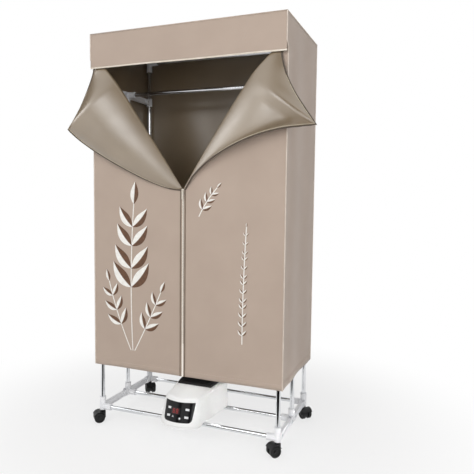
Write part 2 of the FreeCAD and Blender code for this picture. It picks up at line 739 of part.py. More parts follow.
FAR = 1000


def blend(low, top, share):
    return value(low) + (value(top) - value(low)) * share


def heater_side(share):
    # start, direction and inward normal of the right side line at a share of the height
    nose = value(HEATER_NOSE) + value("Sizes.nose_lean") * share
    start = Vector(blend("Sizes.front_half_low", "Sizes.front_half_top", share), nose, 0)
    end = Vector(blend("Sizes.rear_half_low", "Sizes.rear_half_top", share), heater_rear, 0)
    along = (end - start).normalize()
    return start, along, Vector(-along.y, along.x, 0)


def heater_outline(share, inset, z):
    # plan of the heater: a bowed nose, slanting sides and round corners, set in by inset
    start, along, inward = heater_side(share)
    nose_radius = value("Sizes.nose_radius")
    front_radius = value("Sizes.front_corner_radius")
    rear_radius = value("Sizes.rear_corner_radius")
    nose_centre = Vector(0, start.y + nose_radius, 0)

    # front corner: a circle that touches the side line and, from inside, the nose circle
    offset = start + inward * front_radius - nose_centre
    half_b = offset.dot(along)
    c = offset.dot(offset) - (nose_radius - front_radius) ** 2
    front_centre = nose_centre + offset + along * (-half_b - math.sqrt(half_b ** 2 - c))
    nose_way = (front_centre - nose_centre).normalize()

    # rear corner: a circle that touches the side line and the rear wall
    rise = (heater_rear - rear_radius - start.y - inward.y * rear_radius) / along.y
    rear_centre = start + along * rise + inward * rear_radius

    def mirrored(point):
        return Vector(-point.x, point.y, point.z)

    def corner(centre, radius, first, last):
        ways = (first, (first + last).normalize(), last)
        return [centre + way * (radius - inset) + Vector(0, 0, z) for way in ways]

    front = corner(front_centre, front_radius, nose_way, -inward)
    rear = corner(rear_centre, rear_radius, -inward, Vector(0, 1, 0))
    nose = Vector(0, start.y + inset, z)
    right = [Part.Arc(*front).toShape(), Part.makeLine(front[2], rear[0]), Part.Arc(*rear).toShape()]
    left = [Part.Arc(*[mirrored(point) for point in reversed(rear)]).toShape(),
            Part.makeLine(mirrored(rear[0]), mirrored(front[2])),
            Part.Arc(*[mirrored(point) for point in reversed(front)]).toShape()]
    back = Part.makeLine(rear[2], mirrored(rear[2]))
    bow = Part.Arc(mirrored(front[0]), nose, front[0]).toShape()
    return Part.Wire(right + [back] + left + [bow])


def heater_form(inset):
    # the whole body as one solid, set in from the outside by inset on every face
    share = inset / heater_height
    top_z = heater_low + heater_height - inset
    lower = heater_outline(share, inset, heater_low + inset)
    upper = heater_outline(1 - share, inset, top_z)
    upper.rotate(Vector(0, heater_rear, top_z), Vector(1, 0, 0), math.degrees(tilt))
    form = Part.makeLoft([lower, upper], True, True)
    top = max(form.Faces, key=lambda face: face.CenterOfMass.z)
    form = form.makeFillet(value("Sizes.top_round") - inset, top.Edges)

    # slope at the rear that leans on the middle rail
    reach = (value("Sizes.tube_radius") + value("Sizes.seat_gap") + inset) / math.sqrt(2)
    foot_y = value(MIDDLE_Y) - reach
    foot_z = value(RAIL_Z) + reach
    corners = [Vector(-FAR, foot_y - FAR, foot_z - FAR), Vector(-FAR, foot_y + FAR, foot_z + FAR),
               Vector(-FAR, foot_y + FAR, foot_z - FAR)]
    wedge = Part.Face(Part.makePolygon(corners + corners[:1])).extrude(Vector(2 * FAR, 0, 0))
    return form.cut(wedge)


def below(z):
    return Part.makeBox(2 * FAR, 2 * FAR, FAR, Vector(-FAR, -FAR, z - FAR))


def panel_prism(grow):
    # the panel's outline with round lower corners, grown by grow, swept back through the front wall
    half_low = value("Sizes.panel_half_low") + grow
    half_top = value("Sizes.panel_half_top") + grow
    setback = value("Sizes.board_setback")
    low = Vector(0, value(HEATER_NOSE) - setback, heater_low + value("Sizes.panel_rise") - grow)
    top = low + Vector(0, 0, value("Sizes.panel_height") + 2 * grow)
    across = Vector(1, 0, 0)
    corners = [low - across * half_low, low + across * half_low,
               top + across * half_top, top - across * half_top]
    face = Part.Face(Part.makePolygon(corners + corners[:1]))
    prism = face.extrude(Vector(0, 3 * setback, 0))
    swept = [edge for edge in prism.Edges if edge.BoundBox.YLength > setback]
    swept.sort(key=lambda edge: edge.CenterOfMass.z)
    return prism.makeFillet(value("Sizes.panel_corner_radius") + grow, swept[:2])


def panel_point(x, up, back):
    # a point measured from the panel's middle: across, up its slope and back from the nose
    middle = (value("Sizes.panel_rise") + value("Sizes.panel_height") / 2) / math.cos(lean)
    nose = Vector(x, value(HEATER_NOSE), heater_low)
    return nose + panel_up * (middle + up) + press * back


def slanted_box(x, up, width, height, front, back):
    corner = panel_point(x - width / 2, up - height / 2, front)
    box = Part.makeBox(width, back - front, height)
    box.Placement = Placement(corner, Rotation(Vector(1, 0, 0), -math.degrees(lean)))
    return box


def key_places():
    for row in (1, -1):
        for side in SIDES.values():
            yield side * value("Sizes.key_offset_x"), row * value("Sizes.key_offset_up")


def key_prism(x, up, grow):
    back = value("Sizes.board_setback") - value("Sizes.key_travel") - value("Sizes.seat_gap")
    width = value("Sizes.key_width") + 2 * grow
    height = value("Sizes.key_height") + 2 * grow
    return slanted_box(x, up, width, height, -value("Sizes.board_setback"), back)


def board_posts(outer):
    # pegs on the front wall that carry the circuit board
    posts = []
    for side in SIDES.values():
        for row in (1, -1):
            up = row * (value("Sizes.board_height") / 2 - value("Sizes.boss_wall"))
            start = panel_point(side * value(POST_X), up, 0)
            length = value("Sizes.board_setback")
            posts.append(Part.makeCylinder(value("Sizes.boss_wall"), length, start, press))
    return [post.common(outer) for post in posts]


def screw_places():
    for setback in (value("Sizes.front_corner_radius") * 2, heater_rear - value(HEATER_NOSE) - 2 *
                    value("Sizes.rear_corner_radius")):
        y = value(HEATER_NOSE) + setback
        start, along, _ = heater_side(0)
        edge = start.x + along.x / along.y * (y - start.y)
        for side in SIDES.values():
            inset = heater_wall + value("Sizes.screw_radius") + value("Sizes.boss_wall") / 2
            yield side * (edge - inset), y


def heater_boss(x, y, low, high, bore):
    radius = value("Sizes.screw_radius") + value("Sizes.boss_wall")
    outer = Part.makeCylinder(radius, high - low, Vector(x, y, low))
    return outer, Part.makeCylinder(bore, high - low, Vector(x, y, low))


def heater_base():
    outer = heater_form(0)
    rim = heater_low + value("Sizes.heater_parting")
    tray = outer.cut(heater_form(heater_wall)).common(below(rim))

    # lip that hangs in front of the front rail
    lip_low = heater_low - value("Sizes.lip_depth")
    outline = Part.Face(heater_outline(0, 2 * heater_wall, lip_low))
    lip = outline.extrude(Vector(0, 0, value("Sizes.lip_depth") + heater_wall))
    lip_end = value(FRONT_Y) - value("Sizes.tube_radius") - value("Sizes.seat_gap")
    lip = lip.cut(Part.makeBox(2 * FAR, FAR, 2 * FAR, Vector(-FAR, lip_end, -FAR)))
    base = tray.fuse(lip)

    # screw bosses with a recess for each head, and intake slots beside the motor
    clear = value("Sizes.screw_radius") + value("Sizes.seat_gap")
    floor = heater_low + heater_wall
    for x, y in screw_places():
        boss, bore = heater_boss(x, y, heater_low, rim, clear)
        recess = Part.makeCylinder(value("Sizes.screw_head_radius") + value("Sizes.seat_gap"),
                                   heater_wall, Vector(x, y, heater_low))
        base = base.fuse(boss).cut(bore.fuse(recess))
    width = value("Sizes.vent_width")
    length = value("Sizes.vent_length")
    for side in SIDES.values():
        for index in range(int(value("Sizes.vent_slots"))):
            x = side * (value("Sizes.motor_radius") + 2 * width * (index + 1)) - width / 2
            slot = Part.makeBox(width, length, floor, Vector(x, value(FAN_Y) - length / 2, 0))
            base = base.cut(slot)
    shaped("heater_base", base.removeSplitter())


def heater_shell():
    outer = heater_form(0)
    rim = heater_low + value("Sizes.heater_parting")
    shell = outer.cut(heater_form(heater_wall)).cut(below(rim))
    for post in board_posts(outer):
        shell = shell.fuse(post)

    # screw bosses above the base's own
    for x, y in screw_places():
        boss, bore = heater_boss(x, y, rim, rim + value("Sizes.screw_length"),
                                 value("Sizes.screw_radius") + value("Sizes.fit_gap"))
        shell = shell.fuse(boss.common(outer)).cut(bore)

    # recess for the panel and holes for the keys
    recess = outer.cut(heater_form(value("Sizes.panel_recess") + value("Sizes.panel_gap") / 2))
    shell = shell.cut(recess.common(panel_prism(value("Sizes.panel_gap"))))
    for x, up in key_places():
        shell = shell.cut(key_prism(x, up, value("Sizes.key_gap")))

    # outlet under the grille, posts that carry the heating element, hole for the lead gland
    top = Part.makeBox(value("Sizes.element_width"), value("Sizes.element_length"), FAR,
                       Vector(-value("Sizes.element_width") / 2,
                              value(FAN_Y) - value("Sizes.element_length") / 2, value(ELEMENT_TOP)))
    shell = shell.cut(top)
    for x, y in element_posts():
        post = Part.makeCylinder(value("Sizes.boss_wall"), FAR, Vector(x, y, value(ELEMENT_TOP)))
        shell = shell.fuse(post.common(outer))
    gland = Part.makeCylinder(value("Sizes.gland_radius") + value("Sizes.fit_gap"), FAR,
                              Vector(-value("Sizes.gland_offset"), heater_rear - 4 * heater_wall,
                                     value(GLAND_Z)), Vector(0, 1, 0))
    shaped("heater_shell", shell.cut(gland).removeSplitter())


def control_panel():
    # a thin bowed cover plate let into the front wall
    back = heater_form(value("Sizes.panel_recess"))
    proud = heater_form(0)
    proud.translate(-press * value("Sizes.panel_proud"))
    plate = proud.common(panel_prism(0)).cut(back)
    plate = max(plate.Solids, key=lambda solid: -solid.CenterOfMass.y)
    for x, up in key_places():
        plate = plate.cut(key_prism(x, up, value("Sizes.key_gap")))
    shaped("control_panel", plate)


def keys():
    proud = heater_form(0)
    proud.translate(-press * value("Sizes.key_proud"))
    names = ("power_key", "anion_key", "timer_key", "mode_key")
    for label, (x, up) in zip(names, key_places()):
        shaped(label, key_prism(x, up, 0).common(proud))


def circuit_board():
    front = value("Sizes.board_setback")
    board = slanted_box(0, 0, value(BOARD_WIDTH), value("Sizes.board_height"), front,
                        front + value("Sizes.board_thickness"))
    shaped("circuit_board", board)


def element_posts():
    x = value("Sizes.element_width") / 2 + value("Sizes.element_flange") / 2
    y = value("Sizes.element_length") / 2 - value("Sizes.element_flange")
    for side in SIDES.values():
        for way in SIDES.values():
            yield side * x, value(FAN_Y) + way * y


def rectangle(sketch, half_width, half_depth):
    draw_polygon(sketch, [(f"(-{half_width})", f"(-{half_depth})"), (half_width, f"(-{half_depth})"),
                          (half_width, half_depth), (f"(-{half_width})", half_depth)])


def heating_element():
    # a finned block with a flange on each side, screwed up under the shell's top
    body = doc.addObject("PartDesign::Body", "heating_element")
    core = new_sketch(body, "XY_Plane", "core_outline")
    rectangle(core, "(Sizes.element_width / 2)", "(Sizes.element_length / 2)")
    core_pad = feature(body, "Pad", "core", core, "Sizes.element_height")
    core_pad.Reversed = True
    plate = new_sketch(body, "XY_Plane", "flange_outline")
    rectangle(plate, "(Sizes.element_width / 2 + Sizes.element_flange)", "(Sizes.element_length / 2)")
    flange = feature(body, "Pad", "flange", plate, "Sizes.element_plate")
    flange.Reversed = True
    slot = new_sketch(body, "XY_Plane", "air_slot")
    pitch = "(Sizes.element_width / (Sizes.element_slots + 1))"
    near = f"({pitch} - Sizes.element_width / 2 - Sizes.element_slot / 2)"
    half_depth = "(Sizes.element_length / 2 - Sizes.element_plate)"
    draw_polygon(slot, [(near, f"(-{half_depth})"), (f"({near} + Sizes.element_slot)", f"(-{half_depth})"),
                        (f"({near} + Sizes.element_slot)", half_depth), (near, half_depth)])
    air = body.newObject("PartDesign::Pocket", "air_way")
    air.Profile = slot
    air.Type = "ThroughAll"
    air.Midplane = True
    doc.recompute()
    slots = pattern(body, "LinearPattern", air, (slot, ["H_Axis"]), "Sizes.element_slots")
    slots.setExpression("Length", f"({pitch} * (Sizes.element_slots - 1))")
    place(body, "0", FAN_Y, ELEMENT_TOP)
    name_node("heating_element", body)


def outlet_grille():
    # a sloped plate with slots that lies on the shell's top
    body = doc.addObject("PartDesign::Body", "outlet_grille")
    plan = new_sketch(body, "XY_Plane", "grille_outline")
    length = "Sizes.grille_length"
    draw_polygon(plan, [("(-Sizes.grille_front_half)", f"(-{length})"),
                        ("Sizes.grille_front_half", f"(-{length})"),
                        ("Sizes.grille_rear_half", "0"), ("(-Sizes.grille_rear_half)", "0")])
    feature(body, "Pad", "plate", plan, "Sizes.grille_height")
    slot = new_sketch(body, "XY_Plane", "grille_slot")
    near = "(-Sizes.grille_pitch * (Sizes.grille_slots - 1) / 2 - Sizes.grille_slot / 2)"
    far = f"({near} + Sizes.grille_slot)"
    back = "(-Sizes.grille_rim)"
    front = f"(Sizes.grille_rim - {length})"
    draw_polygon(slot, [(near, front), (far, front), (far, back), (near, back)])
    opening = body.newObject("PartDesign::Pocket", "slot")
    opening.Profile = slot
    opening.Type = "ThroughAll"
    opening.Midplane = True
    doc.recompute()
    slots = pattern(body, "LinearPattern", opening, (slot, ["H_Axis"]), "Sizes.grille_slots")
    slots.setExpression("Length", "(Sizes.grille_pitch * (Sizes.grille_slots - 1))")
    body.Placement = Placement(Vector(), Rotation(Vector(1, 0, 0), 1))
    body.setExpression("Placement.Rotation.Angle", "Sizes.top_tilt * 1 deg")
    slope = "(Sizes.grille_setback * tan(Sizes.top_tilt * 1 deg))"
    place(body, "0", f"({HEATER_REAR} - Sizes.grille_setback)",
          f"({HEATER_BOTTOM} + Sizes.heater_height - {slope})")
    name_node("outlet_grille", body)


def fan():
    # motor on the floor with its shaft, and a bladed wheel on the shaft
    motor = rod("Sizes.motor_radius", "Sizes.motor_height", "0", FAN_Y, FLOOR_Z, "z")
    shaft_length = "(Sizes.motor_height + Sizes.seat_gap + Sizes.fan_height)"
    shaft = rod("Sizes.shaft_radius", shaft_length, "0", FAN_Y, FLOOR_Z, "z")
    name_node("fan_motor", joined([motor, shaft]))

    body = doc.addObject("PartDesign::Body", "fan_wheel")
    blade = new_sketch(body, "XY_Plane", "blade_outline")
    root = "(Sizes.hub_radius * 0.8)"
    half = "(Sizes.shaft_radius / 2)"
    draw_polygon(blade, [(root, f"(-{half})"), ("Sizes.fan_radius", "(Sizes.hub_radius / 2)"),
                         ("Sizes.fan_radius", f"(Sizes.hub_radius / 2 + {half})"), (root, half)])
    hub = new_sketch(body, "XY_Plane", "hub_outline")
    draw_circle(hub, "Sizes.hub_radius")
    feature(body, "Pad", "hub", hub, "Sizes.fan_height")
    blade_pad = feature(body, "Pad", "blade", blade, "Sizes.fan_height")
    bore = new_sketch(body, "XY_Plane", "shaft_hole")
    draw_circle(bore, "(Sizes.shaft_radius + Sizes.pin_clearance)")
    doc.recompute()
    pattern(body, "PolarPattern", blade_pad, (blade, ["N_Axis"]), "Sizes.fan_blades")
    hole = body.newObject("PartDesign::Pocket", "shaft_bore")
    hole.Profile = bore
    hole.Type = "ThroughAll"
    hole.Midplane = True
    place(body, "0", FAN_Y, f"({FLOOR_Z} + Sizes.motor_height + Sizes.seat_gap)")
    name_node("fan_wheel", body)


def lead_gland():
    x = "(-Sizes.gland_offset)"
    inner_end = f"({HEATER_REAR} - 3 * Sizes.heater_wall)"
    barrel = rod("Sizes.gland_radius", "(3 * Sizes.heater_wall)", x, inner_end, GLAND_Z, "y")
    flange = rod("Sizes.gland_flange_radius", "Sizes.gland_flange", x, HEATER_REAR, GLAND_Z, "y")
    bore = rod("Sizes.lead_radius", "(3 * Sizes.heater_wall + Sizes.gland_flange)", x,
               f"({HEATER_REAR} - 3 * Sizes.heater_wall)", GLAND_Z, "y")
    name_node("lead_gland", cut(joined([barrel, flange]), [bore]))


def heater_screws():
    screws = []
    for x, y in screw_places():
        foot_point = Vector(x, y, heater_low)
        head_part = Part.makeCylinder(value("Sizes.screw_head_radius"), heater_wall, foot_point)
        shank = Part.makeCylinder(value("Sizes.screw_radius"), value("Sizes.screw_length"), foot_point)
        screws.append(head_part.fuse(shank).removeSplitter())
    shaped("heater_screws", Part.makeCompound(screws))


def heater():
    heater_base()
    heater_shell()
    control_panel()
    keys()
    circuit_board()
    heating_element()
    outlet_grille()
    fan()
    lead_gland()
    heater_screws()


# The whole dryer

outer_frame("front", FRONT_Y, 1)
middle_frame()
outer_frame("rear", REAR_Y, -1)
folding_links()
casters()
cover_panels()
doors()
zip_parts()
heater()
doc.recompute()

for thing in doc.Objects:
    if "Invalid" in thing.State or "Error" in thing.State:
        raise RuntimeError(f"{thing.Label} failed: {thing.State}")

os.makedirs("parts", exist_ok=True)
for thing in nodes:
    if thing.Shape.isNull() or not thing.Shape.isValid() or not thing.Shape.Solids:
        raise RuntimeError(f"{thing.Label} has no valid solid")
    thing.Shape.exportStep(f"parts/{thing.Label}.step")
    print(thing.Label, len(thing.Shape.Solids), round(thing.Shape.Volume))
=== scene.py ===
import math
from collections import namedtuple

import bpy
import numpy as np
from mathutils import Matrix, Vector
from mathutils.bvhtree import BVHTree


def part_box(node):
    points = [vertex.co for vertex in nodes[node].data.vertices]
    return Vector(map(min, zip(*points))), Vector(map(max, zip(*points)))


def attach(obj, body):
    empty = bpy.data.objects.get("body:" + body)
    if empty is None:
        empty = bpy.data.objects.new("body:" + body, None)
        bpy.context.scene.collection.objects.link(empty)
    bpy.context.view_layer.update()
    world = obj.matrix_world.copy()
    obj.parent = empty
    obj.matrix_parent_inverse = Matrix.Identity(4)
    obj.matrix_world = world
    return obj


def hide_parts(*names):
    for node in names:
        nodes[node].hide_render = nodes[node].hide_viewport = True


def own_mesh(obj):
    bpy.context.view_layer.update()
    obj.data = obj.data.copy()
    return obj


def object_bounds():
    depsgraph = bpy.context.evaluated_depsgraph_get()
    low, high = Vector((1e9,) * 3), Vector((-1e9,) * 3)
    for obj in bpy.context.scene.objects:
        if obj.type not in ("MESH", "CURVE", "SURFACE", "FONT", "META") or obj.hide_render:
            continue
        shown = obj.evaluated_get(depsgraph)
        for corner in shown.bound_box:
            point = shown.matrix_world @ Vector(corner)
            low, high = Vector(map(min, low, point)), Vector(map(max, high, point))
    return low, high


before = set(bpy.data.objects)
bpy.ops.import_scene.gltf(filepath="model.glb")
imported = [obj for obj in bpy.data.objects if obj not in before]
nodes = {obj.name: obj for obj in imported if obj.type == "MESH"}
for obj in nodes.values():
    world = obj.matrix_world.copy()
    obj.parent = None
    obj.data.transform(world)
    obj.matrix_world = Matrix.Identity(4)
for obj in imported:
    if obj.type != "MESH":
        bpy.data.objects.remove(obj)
cad_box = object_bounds()
scene = bpy.context.scene

MM = 0.001
SIDES = {"left": -1, "right": 1}

# Sizes of the cover, read from the solids that it replaces, in metres

SIDE_LOW, SIDE_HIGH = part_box("cover_right_side")
VALANCE_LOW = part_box("cover_valance")[0]
ZIP_LOW, ZIP_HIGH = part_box("zip_chain")
HALF_WIDTH = SIDE_HIGH.x
COVER_BOTTOM = SIDE_LOW.z
COVER_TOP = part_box("cover_roof")[1].z
COVER_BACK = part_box("cover_back")[1].y
VALANCE_FRONT = VALANCE_LOW.y
VALANCE_BOTTOM = VALANCE_LOW.z
DOOR_FRONT = SIDE_LOW.y - (SIDE_HIGH.x - SIDE_LOW.x)  # the doors lie one cloth in front of the sides

# Cloth, hems and grids of the panels

CLOTH = 1.2 * MM  # drawn cloth, a little thinner than its solid
PANEL_ROWS = 90
PANEL_COLUMNS = 60
VALANCE_ROWS = 24
HEM = 22 * MM
HEM_PROUD = 0.7 * MM
HEM_STEP = 0.5 * MM  # half the height of the step where the doubled hem ends
VALANCE_NOTCH = VALANCE_BOTTOM + 8 * MM  # where the side's front edge starts forward to the valance
NOTCH_CURVE = 26 * MM

# How the cloth hangs: the folds' depth, number, start, sway on the way up, and margins where they die out

HELD_TOP = 0.1  # share of a panel's height that the upper seam holds straight
SIDE_FOLD = 5.0 * MM
SIDE_FOLDS = 1.7
SIDE_FOLD_START = 0.29
SIDE_FOLD_SWAY = 0.04
SIDE_FOLD_BENDS = 1.1
SIDE_MARGIN = 0.2
BACK_BELLY = 5.0 * MM
BACK_FOLD = 1.6 * MM
BACK_FOLDS = 3.3
BACK_FOLD_SWAY = 0.2
BACK_FOLD_BENDS = 0.85
BACK_MARGIN = 0.15
ROOF_SAG = 7.0 * MM
ROOF_MARGIN = 0.4
ROOF_RIPPLE = 0.8 * MM
ROOF_RIPPLES = 2.5
ROOF_RIPPLE_SLANT = 0.6
ROOF_RIPPLE_MARGIN = 0.3
VALANCE_WAVE = 2.0 * MM
VALANCE_WAVES = 1.7
VALANCE_WAVE_START = 0.25
VALANCE_MARGIN = 0.15
DOOR_WAVE = 1.3 * MM
DOOR_WAVES = 1.6
DOOR_WAVE_SLANT = 0.5  # waves to a metre of height
DOOR_WAVE_FADE = 150 * MM  # below the fold line
DOOR_MARGIN = 0.2

# Opened corners of the doors, left (-1) and right (1): on the solids' fold line, rolled as in the photograph

CHAIN_HALF_WIDTH = 3.3 * MM
SLIDER_HEIGHT = 895 * MM
FOLD_CORNER_HEIGHT = 1398 * MM
FLAP_TIP_ALONG = 0.7
FLAP_WIDTH = 250 * MM
FLAP_FULLNESS = {-1: 0.72, 1: 1.9}  # the left flap bulges at its lower edge and the right one is hollow
FLAP_HOLLOW = {-1: 1.75, 1: 2.3}
FLAP_LEAST = 0.02  # the flap's scale at its two ends
FLAP_TUCK = 1.6  # how soon the roll flattens towards the valance, which hangs over it
FLAP_INSET = 5 * MM  # how far inside the side the flap's upper end stays behind the valance
FLAP_SPILL = 3.0  # how fast it may come out sideways below the valance
FLAP_POINT = {-1: -0.06, 1: 0.07}  # how much is added to the width at the tip, as a share of it
FLAP_POINT_LENGTH = 0.12
FLAP_POINT_FLAT = 0.5  # the edge curls less at the tip, which stays pointed
FLAP_ROLL_RADIUS = 13 * MM
FLAP_ROLL_ANGLE = math.radians(148)
FLAP_FLAT_ANGLE = math.radians(168)
FLAP_CROWN_RADIUS = 245 * MM
FLAP_CROWN_ANGLE = math.radians(192)
FLAP_BEND_RADIUS = 90 * MM
FLAP_BEND_TURN = math.radians(42)
FLAP_CURL_RADIUS = 10 * MM
FLAP_CURL_TURN = math.radians(45)
FLAP_WAVE = 4.0 * MM
FLAP_WAVES = 2.1
FLAP_WAVE_START = 0.2
CROWN_TRIALS = 40  # angles among which that of the crown's end is looked for
ROLL_STEPS = 12
CROWN_STEPS = 20
BEND_STEPS = 10
CURL_STEPS = 6
TIP_COLUMNS = 49  # grid columns from the slider to the flap's tip
CORNER_COLUMNS = 25  # grid columns from the tip to the cover's corner
BINDING_AND_SHADE_ROW = 3  # grid rows from the flap's free edge to the middle of its dark binding, whose darkness also paints the curled edge's shade
SEAM_ROW = 6  # grid rows from the free edge to the seam beside the binding

# Piping, stitches and zip

PIPING_SIDES = 10
PIPING_RADIUS = 2.2 * MM
HEM_PIPING_RADIUS = 2.8 * MM
EDGE_RADIUS = 3.0 * MM
EDGE_SEAM_RADIUS = 1.1 * MM
CORNER_POINTS = 40
WELT_POINTS = 30
DOOR_HEM_POINTS = 40
SIDE_HEM_ENDS = 2  # points without stitches at each end of the side's hem
STITCH_BELOW_HEM = 3 * MM
STITCH_PROUD = 0.2 * MM
STITCH_MARGIN = 4 * MM
STITCH_PITCH = 9 * MM  # stitches are drawn about twice as long as real ones, so that they show
STITCH_SIZE = (6 * MM, 0.9 * MM, 0.9 * MM)
ZIP_WELT = 8.8 * MM  # from the middle to the raised welt beside the tape, whose dark colour is painted shade
ZIP_WELT_RADIUS = 2.0 * MM
WELT_BELOW_SLIDER = 6 * MM
CHAIN_PROUD = 0.3 * MM
TOOTH_PITCH = 3.2 * MM  # about twice the real pitch, so that teeth show
TOOTH_SIZE = (2 * CHAIN_HALF_WIDTH, 1.6 * MM, 3.1 * MM)
HALF_TOOTH_SIZE = (CHAIN_HALF_WIDTH, 2.4 * MM, 2.0 * MM)
HALF_TOOTH_OUT = 1.2 * MM
BEAD_RADIUS = 0.5  # of the plain element in a row, whose scale is then its full size
BEAD_ROUNDNESS = 2

# Print on the doors: places are across and up in metres, headings from upright and curls in radians

FILM = 0.35 * MM
BLADE_ROWS = 14
BLADE_COLUMNS = 4
BLADE_BELLY = 0.85  # below 1, a leaf is widest below its middle
BLADE_TIP = 0.02  # the width left at a leaf's ends, as a share of its most
LEAF_RIB = 0.9 * MM
LEAF_SLENDER = 0.2  # half width of a leaf as a share of its length
LEAF_SHRINK = 0.45
LEAF_SPREAD = math.radians(52)
LEAF_CURL = math.radians(28)
STEM_HALF = 1.6 * MM
STEM_POINTS = 40
LEFT_SPRIGS = [
    dict(base=(-0.205, 0.300), heading=-0.06, stem=0.540, curl=0.14, largest=0.150, pairs=4, bare=0.44),
    dict(base=(-0.213, 0.300), heading=-0.46, stem=0.270, curl=0.22, largest=0.082, pairs=3, bare=0.40),
    dict(base=(-0.197, 0.300), heading=0.50, stem=0.250, curl=-0.10, largest=0.078, pairs=3, bare=0.40),
]
RIGHT_SPRIGS = [
    dict(base=(0.062, 0.800), heading=0.45, stem=0.120, curl=0.30, largest=0.044, pairs=3, bare=0.25),
    dict(base=(0.225, 0.370), heading=0.00, stem=0.400, curl=0.06, largest=0.026, pairs=13, bare=0.10),
]

# Marks on the heater's panel, at places across and up

BEFORE_PANEL = -1  # a depth in front of the panel, from which its front is looked for
MARK_POINTS = 8
DISPLAY_CENTRE = (-8 * MM, 116 * MM)
DISPLAY_SIZE = (34 * MM, 20 * MM)
DIGIT_SHIFTS = (-6.5 * MM, 6.5 * MM)
DIGIT_HEIGHT = 13 * MM
DIGIT_SLENDER = 0.5
DIGIT_BAR = 1.8 * MM
RING_RADIUS = 4 * MM
RING_PETALS = {(-16 * MM, 98 * MM): 3, (12 * MM, 94 * MM): 6}
PETAL_SLENDER = 0.3
PETAL_ROWS = 6

# Stage, light and camera, in metres, watts and degrees

WHITE = (1, 1, 1, 1)
FILL_LIGHT = 0.52
DARK_ROOM_WAY = Vector((0.40, -0.90, 0.25)).normalized()
DARK_ROOM_EDGE = (0.62, 0.7)  # cosines of the angles between which reflections of the backdrop turn dark
DARK_ROOM_SHADE = 0.02
FLOOR_COLOUR = "#f7f7f7"
FLOOR_RADIUS = 14.0
FLOOR_SIDES = 96
FLOOR_FADE = (0.5, 1.3)  # distances from the object between which the floor fades to the backdrop
FLOOR_GLOW = 0.68  # share of plain white in the floor under the object, which keeps the shadow pale
CARD_COLOUR = "#0a0a0a"
CARD_LIFT = 4 * MM
CARDS = {
    # gives the chrome its dark stripe
    "front_card": [
        (-0.45, -2.6, CARD_LIFT), (2.2, -2.6, CARD_LIFT), (2.2, -0.37, CARD_LIFT), (-0.45, -0.37, CARD_LIFT),
    ],
    # shades the turn of the right flap
    "left_card": [(-2.2, -0.7, 0.9), (-2.2, 1.4, 0.9), (-2.2, 1.4, 3.0), (-2.2, -0.7, 3.0)],
}
LAMPS = {
    "key_light": dict(place=(-0.5, -2.7, 2.2), target=(0, 0, 0.7), size=1.2, power=17.5),
    "front_light": dict(place=(0.1, -3.0, 1.2), target=(0, 0, 0.9), size=1.6, power=9.5),
    "side_light": dict(place=(1.9, -2.3, 1.5), target=(0.3, 0, 0.8), size=1.4, power=20.5),
    # the cover shades the heater, so a small lamp is inside the cover and a narrow one shines in under it
    "heater_top_light": dict(place=(0, -0.075, 0.32), target=(0, -0.18, 0.16), size=0.08, power=0.17),
    "heater_side_light": dict(
        place=(1.5, -0.28, 0.34), target=(0.08, -0.06, 0.09), size=0.12, power=0.076, spread=15
    ),
    # gives the bright band along the right flap
    "satin_light": dict(
        place=(-1.95, -1.2, 1.85), target=(0.2, -0.2, 1.15), size=0.9, power=9, only_reflected=True
    ),
}
CAMERA_PLACE = (0.84952, -1.79954, 0.86150)
CAMERA_TURN = (21.5575, 4.1119, 0.6550)  # yaw to the left, pitch down and roll
CAMERA_LENS = 39.957
CAMERA_SENSOR = 36

# How materials are drawn

NOISE_RANGE = (0.32, 0.68)  # where nearly all of the Noise texture lies
MIX_SHARE, MIX_FIRST, MIX_SECOND, MIX_RESULT = 0, 6, 7, 2  # sockets of a Mix node that is set to colours
DRAWN_THREAD = 2.2 * MM  # the real thread is about 0.4 mm, and is drawn larger so that it shows


# Nodes, colours and the surface effects that several finishes share

Finish = namedtuple("Finish", "material tree shader place")


def add_node(tree, kind, links=None, **settings):
    """Adds one node; links maps an input to a value, to an output, or to a node for its first output."""
    node = tree.nodes.new(kind)
    for name, value in settings.items():
        setattr(node, name, value)
    for socket, source in (links or {}).items():
        if isinstance(source, bpy.types.Node):
            source = source.outputs[0]
        if isinstance(source, bpy.types.NodeSocket):
            tree.links.new(source, node.inputs[socket])
        else:
            node.inputs[socket].default_value = source
    return node


def empty_tree(owner):
    """The emptied node tree of a new material or world."""
    owner.use_nodes = True
    owner.node_tree.nodes.clear()
    return owner.node_tree


def colour(hex_text):
    """A linear colour from sRGB hex."""
    parts = [int(hex_text[i:i + 2], 16) / 255 for i in (1, 3, 5)]
    linear = [c / 12.92 if c <= 0.04045 else ((c + 0.055) / 1.055) ** 2.4 for c in parts]
    return (*linear, 1.0)


def new_finish(name, on_cloth=False, **sockets):
    """A material of one principled shader with its constants, and the place of each spot: on the flat cloth,
    or in space."""
    material = bpy.data.materials.new(name)
    tree = empty_tree(material)
    shader = add_node(tree, "ShaderNodeBsdfPrincipled")
    for socket, value in sockets.items():
        shader.inputs[socket.replace("_", " ")].default_value = value
    add_node(tree, "ShaderNodeOutputMaterial", {"Surface": shader})
    kind, output = ("ShaderNodeUVMap", "UV") if on_cloth else ("ShaderNodeTexCoord", "Object")
    return Finish(material, tree, shader, add_node(tree, kind).outputs[output])


def feed(finish, socket, source):
    """Links an output to a socket of the finish's shader."""
    finish.tree.links.new(source, finish.shader.inputs[socket])


def blotches(finish, size, low=0.0, high=1.0, detail=3.0):
    """A number that wanders between low and high, in blotches about as wide as size."""
    noise = {"Vector": finish.place, "Scale": 1 / size, "Detail": detail}
    wander = add_node(finish.tree, "ShaderNodeTexNoise", noise).outputs["Fac"]
    least, most = NOISE_RANGE
    stretch = {"Value": wander, "From Min": least, "From Max": most, "To Min": low, "To Max": high}
    return add_node(finish.tree, "ShaderNodeMapRange", stretch).outputs["Result"]


